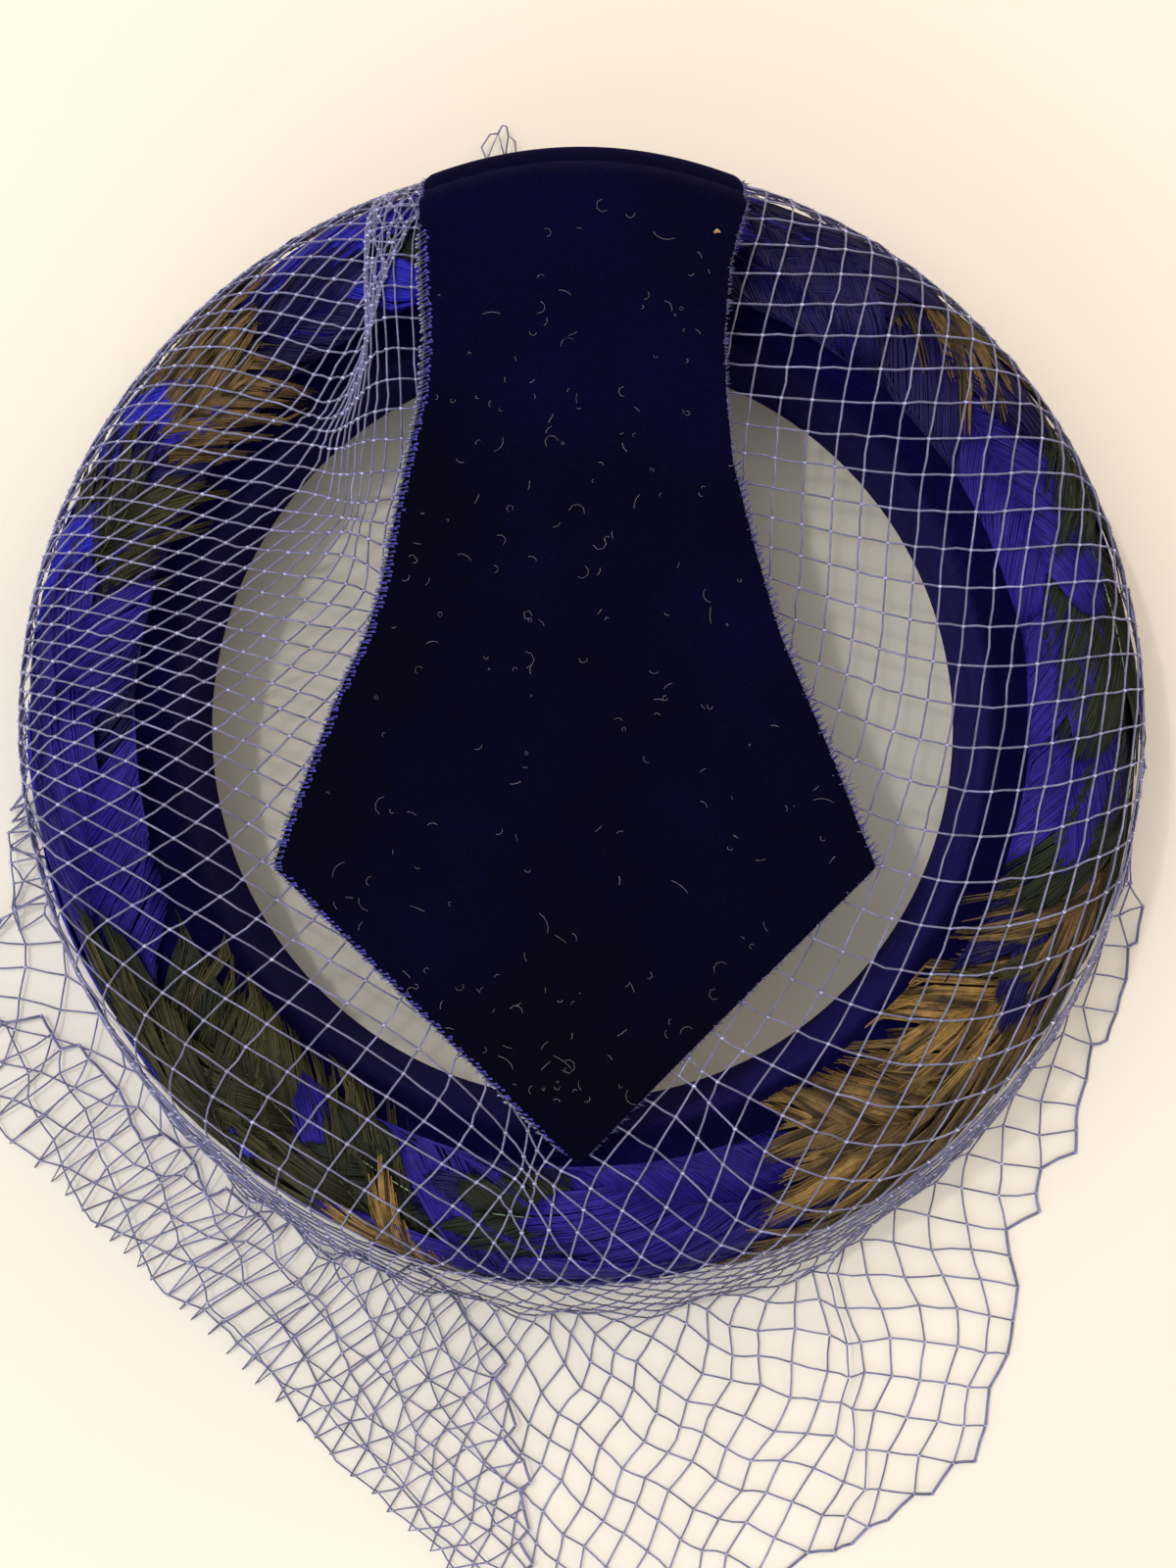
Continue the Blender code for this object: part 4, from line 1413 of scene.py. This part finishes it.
    def clear(self, points: Array) -> Array:
        """Move knots out of the ring, its feathers, the tab above and the surface below.

        Args:
            points: knots, from the ring's middle.

        Returns:
            The moved knots.
        """
        form = self.form
        azimuth, radius = np.arctan2(points[:, 1], points[:, 0]), np.hypot(points[:, 0], points[:, 1])
        height = points[:, 2]
        pushed = form.push(azimuth, form.slope_length * np.clip(1 - height / form.ring_height, 0, 1))
        out, up = radius - pushed - form.roll_centre, height - form.roll_height
        turn = np.arctan2(out, up)
        need = self.crest_lift + (self.slope_lift - self.crest_lift) * smooth_step(turn / 0.9)
        on_wall = turn > math.pi / 2 - form.flare
        reach = np.where(on_wall, out * math.cos(form.flare) + up * math.sin(form.flare), np.hypot(out, up))
        short = np.maximum(form.roll_radius + need - reach, 0) * (on_wall | (up > 0))
        aside = np.where(on_wall, math.cos(form.flare), out / np.maximum(reach, 1e-6))
        rise = np.where(on_wall, math.sin(form.flare), up / np.maximum(reach, 1e-6))
        radius, height = radius + short * aside, height + short * rise
        over = radius < form.roll_centre
        lowest = self.top - 0.0015 - self.sag * (1 - (radius / form.roll_centre) ** 2) * 1.6
        height = np.where(over, np.maximum(height, lowest), np.maximum(height, 0.0005))
        height = np.minimum(height, self.top + 0.0012)
        return np.stack([radius * np.cos(azimuth), radius * np.sin(azimuth), height], -1)

    def ease(self, points: Array, pairs: Array, sewn: Array, rest: Array) -> Array:
        """Catch the net together where it is gathered, ease its overstretched threads, and lay it on the hat.

        Args:
            points: the hung knots.
            pairs: the threads.
            sewn: which knots stay.
            rest: how long each thread is.

        Returns:
            The eased knots.
        """
        first, second = pairs.T
        held = sewn.copy()
        for gather in self.gathers:
            away = points[:, :2] - np.array([gather.across, gather.ahead])
            near = np.exp(-((np.linalg.norm(away, axis=1) / gather.spread) ** 2)) * (points[:, 2] > 0.02)
            points[:, :2] -= away * (gather.pull * near)[:, None]
            held = held | (near > 0.75)
        loose = (~held)[:, None].astype(float)
        joins = np.maximum(np.bincount(pairs.ravel(), minlength=len(points)), 1)[:, None]
        for _ in range(self.steps):
            along = points[second] - points[first]
            length = np.linalg.norm(along, axis=1, keepdims=True)
            too_long = np.maximum(length - self.give * rest[:, None], 0)
            move = along / np.maximum(length, 1e-9) * too_long / 2
            shift = np.zeros_like(points)
            for axis in range(3):
                shift[:, axis] = np.bincount(first, move[:, axis], len(points))
                shift[:, axis] -= np.bincount(second, move[:, axis], len(points))
            points = points + shift / joins * loose
            kept = points[sewn]
            points = self.clear(points)
            points[sewn] = kept
        return points

    def fold_back(self, points: Array, pairs: Array) -> tuple[Array, Array]:
        """Fold the left front corner of the net back over itself, along a line on the surface.

        Args:
            points: the knots.
            pairs: the threads.

        Returns:
            The knots, and each thread's middle point, which lies on the fold where the thread crosses it.
        """
        start, end = np.array(self.fold_start), np.array(self.fold_end)
        way = (end - start) / np.linalg.norm(end - start)
        outward = np.array([way[1], -way[0]])
        outward = outward * np.sign(outward @ start)
        past = (points[:, :2] - start) @ outward
        beyond = (past > 0) & (points[:, 2] < 0.02)
        ends = points[pairs]
        depth = past[pairs]
        crossing = beyond[pairs[:, 0]] != beyond[pairs[:, 1]]
        apart = depth[:, 0] - depth[:, 1]
        share = np.where(crossing, depth[:, 0] / np.where(np.abs(apart) < 1e-9, 1, apart), 0.5)
        folded = points.copy()
        folded[beyond, :2] -= 2 * past[beyond, None] * outward
        folded[beyond, 2] = 0.0022 + 0.4 * folded[beyond, 2] + 0.0006 * np.sin(past[beyond] * 300)
        middle = ends[:, 0] + (ends[:, 1] - ends[:, 0]) * np.clip(share, 0.05, 0.95)[:, None]
        straight = (folded[pairs[:, 0]] + folded[pairs[:, 1]]) / 2
        on_hat = straight[:, 2] > self.floor_band
        straight[on_hat] = self.clear(straight[on_hat])
        middle[:, 2] = np.where(crossing, 0.0012, middle[:, 2])
        return folded, np.where(crossing[:, None], middle, straight)

    def build(self) -> bpy.types.Object:
        """Hang, settle and fold the net, and give it its threads and knots.

        Returns:
            The piece.
        """
        places, pairs, at_edge, sewn, rest = self.knots()
        points = self.ease(places, pairs, sewn, rest)
        points, middles = self.fold_back(points, pairs)
        used = np.unique(pairs)
        random = np.random.default_rng(5)
        shift = np.array([*self.form.centre[:2], 0.0])
        points = points + shift
        middles = middles + shift + random.normal(0, 0.00012, middles.shape)
        middles[:, 2] = np.maximum(middles[:, 2], self.thread * 0.6)
        paths = np.stack([points[pairs[:, 0]], middles, points[pairs[:, 1]]], 1)
        knot = points[used][:, None] + np.array([[-1, 0, 0], [0, 0, 0], [1, 0, 0]]) * self.thread * 0.9
        loops = shift + np.array(self.tuft_mm) / 1000
        kinds = [
            Threads(paths, np.where(at_edge, 0.85, 0.5)[:, None] * self.thread, 3, self.thread_colour),
            # Each knot gets the lighter knot colour, a painted highlight for where it catches the light.
            Threads(knot, np.array([0.40, 1.15, 0.40]) * self.thread, 3, self.knot_highlight_colour),
            Threads(loops, self.thread / 2, 3, self.thread_colour),
        ]
        piece = joined_tubes("net_veil", kinds, Plume("net thread", 0.6, 0.3).make())
        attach(piece, "root")
        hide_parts("veil")
        return piece


@dataclass(frozen=True)
class Lamp:
    """A square area light that is aimed at the ring's middle."""

    name: str
    place: tuple[float, float, float]
    size: float
    power: float
    colour: Colour


@dataclass
class Studio:
    """The pale surface, the soft studio light and the camera above the hat."""

    form: HatForm
    camera_height: float = 0.40
    camera_aside: float = 0.001
    camera_ahead: float = -0.010
    photo_height: float = 0.2816
    sensor: float = 24.0
    sky: Colour = (1.0, 0.91, 0.79)
    sky_strength: float = 0.71
    lamps: tuple[Lamp, ...] = (
        Lamp("key", (-0.30, 0.22, 1.20), 0.80, 5.2, (1.0, 0.96, 0.91)),
        Lamp("sharp_key", (-0.34, 0.24, 1.20), 0.035, 3.2, (1.0, 0.96, 0.91)),
        Lamp("warm_side", (0.75, 0.75, 0.80), 0.80, 5.0, (1.0, 0.76, 0.52)),
        Lamp("cool_front", (-0.55, -0.85, 0.75), 0.90, 4.2, (0.66, 0.84, 1.0)),
    )

    def build_floor(self) -> None:
        """The pale surface that the hat lies on."""
        select_nothing()
        bpy.ops.mesh.primitive_plane_add(size=6.0, location=(0, 0, 0))
        floor = bpy.context.object
        floor.name = "pale_surface"
        nodes = Nodes("pale surface")
        stops = ((0.3, (0.75, 0.71, 0.65)), (0.7, (0.78, 0.745, 0.69)))
        nodes.colour(nodes.ramp(nodes.noise(2.0, 1.0), stops))
        nodes.set(Roughness=0.65)
        floor.data.materials.append(nodes.material)

    def build_camera(self) -> None:
        """The camera, which looks straight down as the photo's did."""
        data = bpy.data.cameras.new("camera")
        data.sensor_fit = "VERTICAL"
        data.sensor_height = self.sensor
        data.lens = self.sensor * self.camera_height / self.photo_height
        camera = bpy.data.objects.new("camera", data)
        x, y = self.form.centre.x + self.camera_aside, self.form.centre.y + self.camera_ahead
        camera.location = (x, y, self.camera_height)
        bpy.context.scene.collection.objects.link(camera)
        bpy.context.scene.camera = camera

    def build_light(self) -> None:
        """The lamps and the warm light from all round."""
        for lamp in self.lamps:
            data = bpy.data.lights.new(lamp.name, "AREA")
            data.size, data.energy, data.color = lamp.size, lamp.power, lamp.colour
            light = bpy.data.objects.new(lamp.name, data)
            light.location = lamp.place
            aim = self.form.centre - Vector(lamp.place)
            light.rotation_euler = aim.to_track_quat("-Z", "Y").to_euler()
            bpy.context.scene.collection.objects.link(light)
        world = bpy.data.worlds.new("room")
        world.use_nodes = True
        background = world.node_tree.nodes["Background"]
        background.inputs["Color"].default_value = (*self.sky, 1.0)
        background.inputs["Strength"].default_value = self.sky_strength
        bpy.context.scene.world = world
        bpy.context.scene.view_settings.view_transform = "Standard"

    def build(self) -> None:
        """All of it."""
        self.build_floor()
        self.build_camera()
        self.build_light()


def clusters() -> tuple[tuple[Blade, ...], ...]:
    """Which feathers each cluster is made of.

    Returns:
        The clusters, clockwise from the right edge of the tab, each with its undermost feather first.
    """
    navy, blue, royal, moss = Plumage.NAVY, Plumage.BLUE, Plumage.ROYAL, Plumage.MOSS
    olive, brown, gold = Plumage.OLIVE, Plumage.BROWN, Plumage.GOLD
    return (
        (
            Blade(navy, 0, 0.10, 0.30, 0.056, 0.014),
            Blade(navy, 0, 0.45, 0.85, 0.056, 0.014),
            Blade(brown, 0.004, 0.46, 0.54, 0.050, 0.0100, 0.60),
        ),
        (
            Blade(blue, 0, 0.08, 0.40, 0.056, 0.014),
            Blade(blue, 0.000, 0.68, 0.98, 0.064, 0.0105, 0.05),
            Blade(brown, -0.004, 0.44, 0.50, 0.036, 0.0095, 0.80),
            Blade(moss, 0.012, 0.36, 0.50, 0.044, 0.0095, 0.30),
        ),
        (
            Blade(blue, 0, 0.10, 0.25, 0.058, 0.0140, 0.10),
            Blade(blue, 0.000, 0.78, 1.00, 0.062, 0.0100, 0.05),
            Blade(moss, 0.002, 0.56, 0.60, 0.056, 0.0125, 0.12),
        ),
        (
            Blade(royal, 0, 0.04, 0.12, 0.056, 0.0110, 0.10),
            Blade(blue, 0.000, 0.80, 1.00, 0.056, 0.0100, 0.10),
            Blade(moss, 0.000, 0.46, 0.60, 0.058, 0.0140, 0.15),
        ),
        (
            Blade(brown, 0, 0.12, 0.30, 0.056, 0.0140, 0.40),
            Blade(navy, 0.000, 0.60, 0.98, 0.052, 0.0110, 0.30),
            Blade(olive, 0.000, 0.36, 0.62, 0.050, 0.0110, 0.40),
            Blade(brown, 0.006, 0.40, 0.80, 0.042, 0.0100, 0.80),
        ),
        (
            Blade(brown, 0, 0.12, 0.36, 0.056, 0.0140, 0.40),
            Blade(brown, 0.000, 0.42, 0.82, 0.050, 0.0120, 0.60),
            Blade(gold, 0.000, 0.45, 1.18, 0.048, 0.0100, 0.70),
        ),
        (
            Blade(brown, 0, 0.12, 0.36, 0.056, 0.0140, 0.40),
            Blade(gold, -0.004, 0.40, 0.95, 0.050, 0.0120, 0.60),
            Blade(brown, 0.002, 0.45, 1.16, 0.046, 0.0085, 0.80),
        ),
        (
            Blade(blue, 0, 0.20, 0.60, 0.060, 0.0170, 0.05),
            Blade(blue, 0.004, 0.60, 1.12, 0.056, 0.0130, 0.08),
            Blade(gold, -0.020, 0.45, 1.10, 0.036, 0.0055, 0.60),
            Blade(brown, -0.016, 0.22, 0.72, 0.036, 0.0085, 0.80),
        ),
        (
            Blade(navy, 0.000, 0.80, 1.12, 0.056, 0.0110, 0.10),
            Blade(moss, 0.004, 0.66, 0.90, 0.050, 0.0070, 0.40),
            Blade(blue, 0, 0.36, 0.66, 0.060, 0.0190, 0.03),
            Blade(gold, 0.052, 0.40, 0.60, 0.020, 0.0065, 0.50),
        ),
        (
            Blade(blue, 0, 0.36, 0.50, 0.048, 0.0180, 0.03),
            Blade(moss, 0.010, 0.66, 0.98, 0.042, 0.0085, 0.40),
            Blade(olive, 0.012, 0.40, 0.84, 0.044, 0.0120, 0.50),
        ),
        (
            Blade(royal, 0, 0.14, 0.40, 0.040, 0.0140, 0.10),
            Blade(olive, 0.006, 0.62, 1.00, 0.044, 0.0100, 0.50),
            Blade(olive, 0.012, 0.30, 0.80, 0.046, 0.0125, 0.40),
        ),
        (
            Blade(royal, 0, 0.12, 0.32, 0.058, 0.0140, 0.10),
            Blade(moss, 0.000, 0.46, 0.90, 0.042, 0.0130, 0.40),
            Blade(olive, 0.000, 0.32, 0.76, 0.041, 0.0120, 0.75),
        ),
        (
            Blade(royal, 0, 0.15, 0.34, 0.056, 0.0140, 0.15),
            Blade(blue, 0.000, 0.46, 1.00, 0.056, 0.0130, 0.20),
        ),
        (
            Blade(navy, 0.002, 0.80, 1.10, 0.050, 0.0100, 0.60),
            Blade(royal, 0, 0.24, 0.46, 0.064, 0.0160, 0.06),
            Blade(blue, 0.000, 0.56, 0.90, 0.056, 0.0095, 0.35),
        ),
        (
            Blade(navy, 0.004, 0.78, 1.08, 0.046, 0.0090, 0.70),
            Blade(royal, 0, 0.26, 0.46, 0.060, 0.0160, 0.06),
            Blade(navy, 0.004, 0.62, 0.92, 0.050, 0.0090, 0.50),
            Blade(olive, 0.008, 0.52, 0.94, 0.044, 0.0080, 0.80),
        ),
        (
            Blade(navy, 0.000, 0.66, 1.02, 0.048, 0.0090, 0.80),
            Blade(olive, 0, 0.20, 0.44, 0.050, 0.0140, 0.50),
            Blade(brown, 0.004, 0.40, 0.80, 0.048, 0.0110, 0.60),
            Blade(brown, 0.006, 0.60, 1.04, 0.042, 0.0080, 0.80),
        ),
        (
            Blade(brown, 0, 0.15, 0.36, 0.044, 0.0130, 0.50),
            Blade(royal, 0.002, 0.46, 0.80, 0.052, 0.0125, 0.15),
            Blade(navy, 0.000, 0.66, 1.00, 0.046, 0.0095, 0.60),
        ),
        (
            Blade(blue, 0, 0.15, 0.36, 0.054, 0.0140, 0.10),
            Blade(blue, 0.004, 0.56, 0.98, 0.050, 0.0125, 0.15),
            Blade(moss, 0.000, 0.44, 0.76, 0.040, 0.0075, 0.60),
        ),
        (
            Blade(blue, 0, 0.15, 0.36, 0.056, 0.0140, 0.10),
            Blade(blue, 0.000, 0.50, 1.02, 0.052, 0.0130, 0.20),
            Blade(moss, 0.000, 0.40, 0.68, 0.044, 0.0070, 0.40),
        ),
        (
            Blade(blue, 0, 0.15, 0.32, 0.058, 0.0140, 0.10),
            Blade(royal, 0.000, 0.42, 0.72, 0.056, 0.0120, 0.10),
            Blade(navy, 0.004, 0.66, 1.04, 0.050, 0.0120, 0.15),
            Blade(navy, 0.004, 0.40, 0.72, 0.056, 0.0120, 0.10),
        ),
    )


def main() -> None:
    """Build and dress the hat."""
    logging.basicConfig(level=logging.INFO, format="%(message)s")
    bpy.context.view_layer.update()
    form = HatForm()
    Studio(form).build()
    VelvetRing(form).build()
    FeatherWreath(form).build(clusters())
    VelvetTab(form).build()
    NetVeil(form).build()


if __name__ == "__main__":
    main()
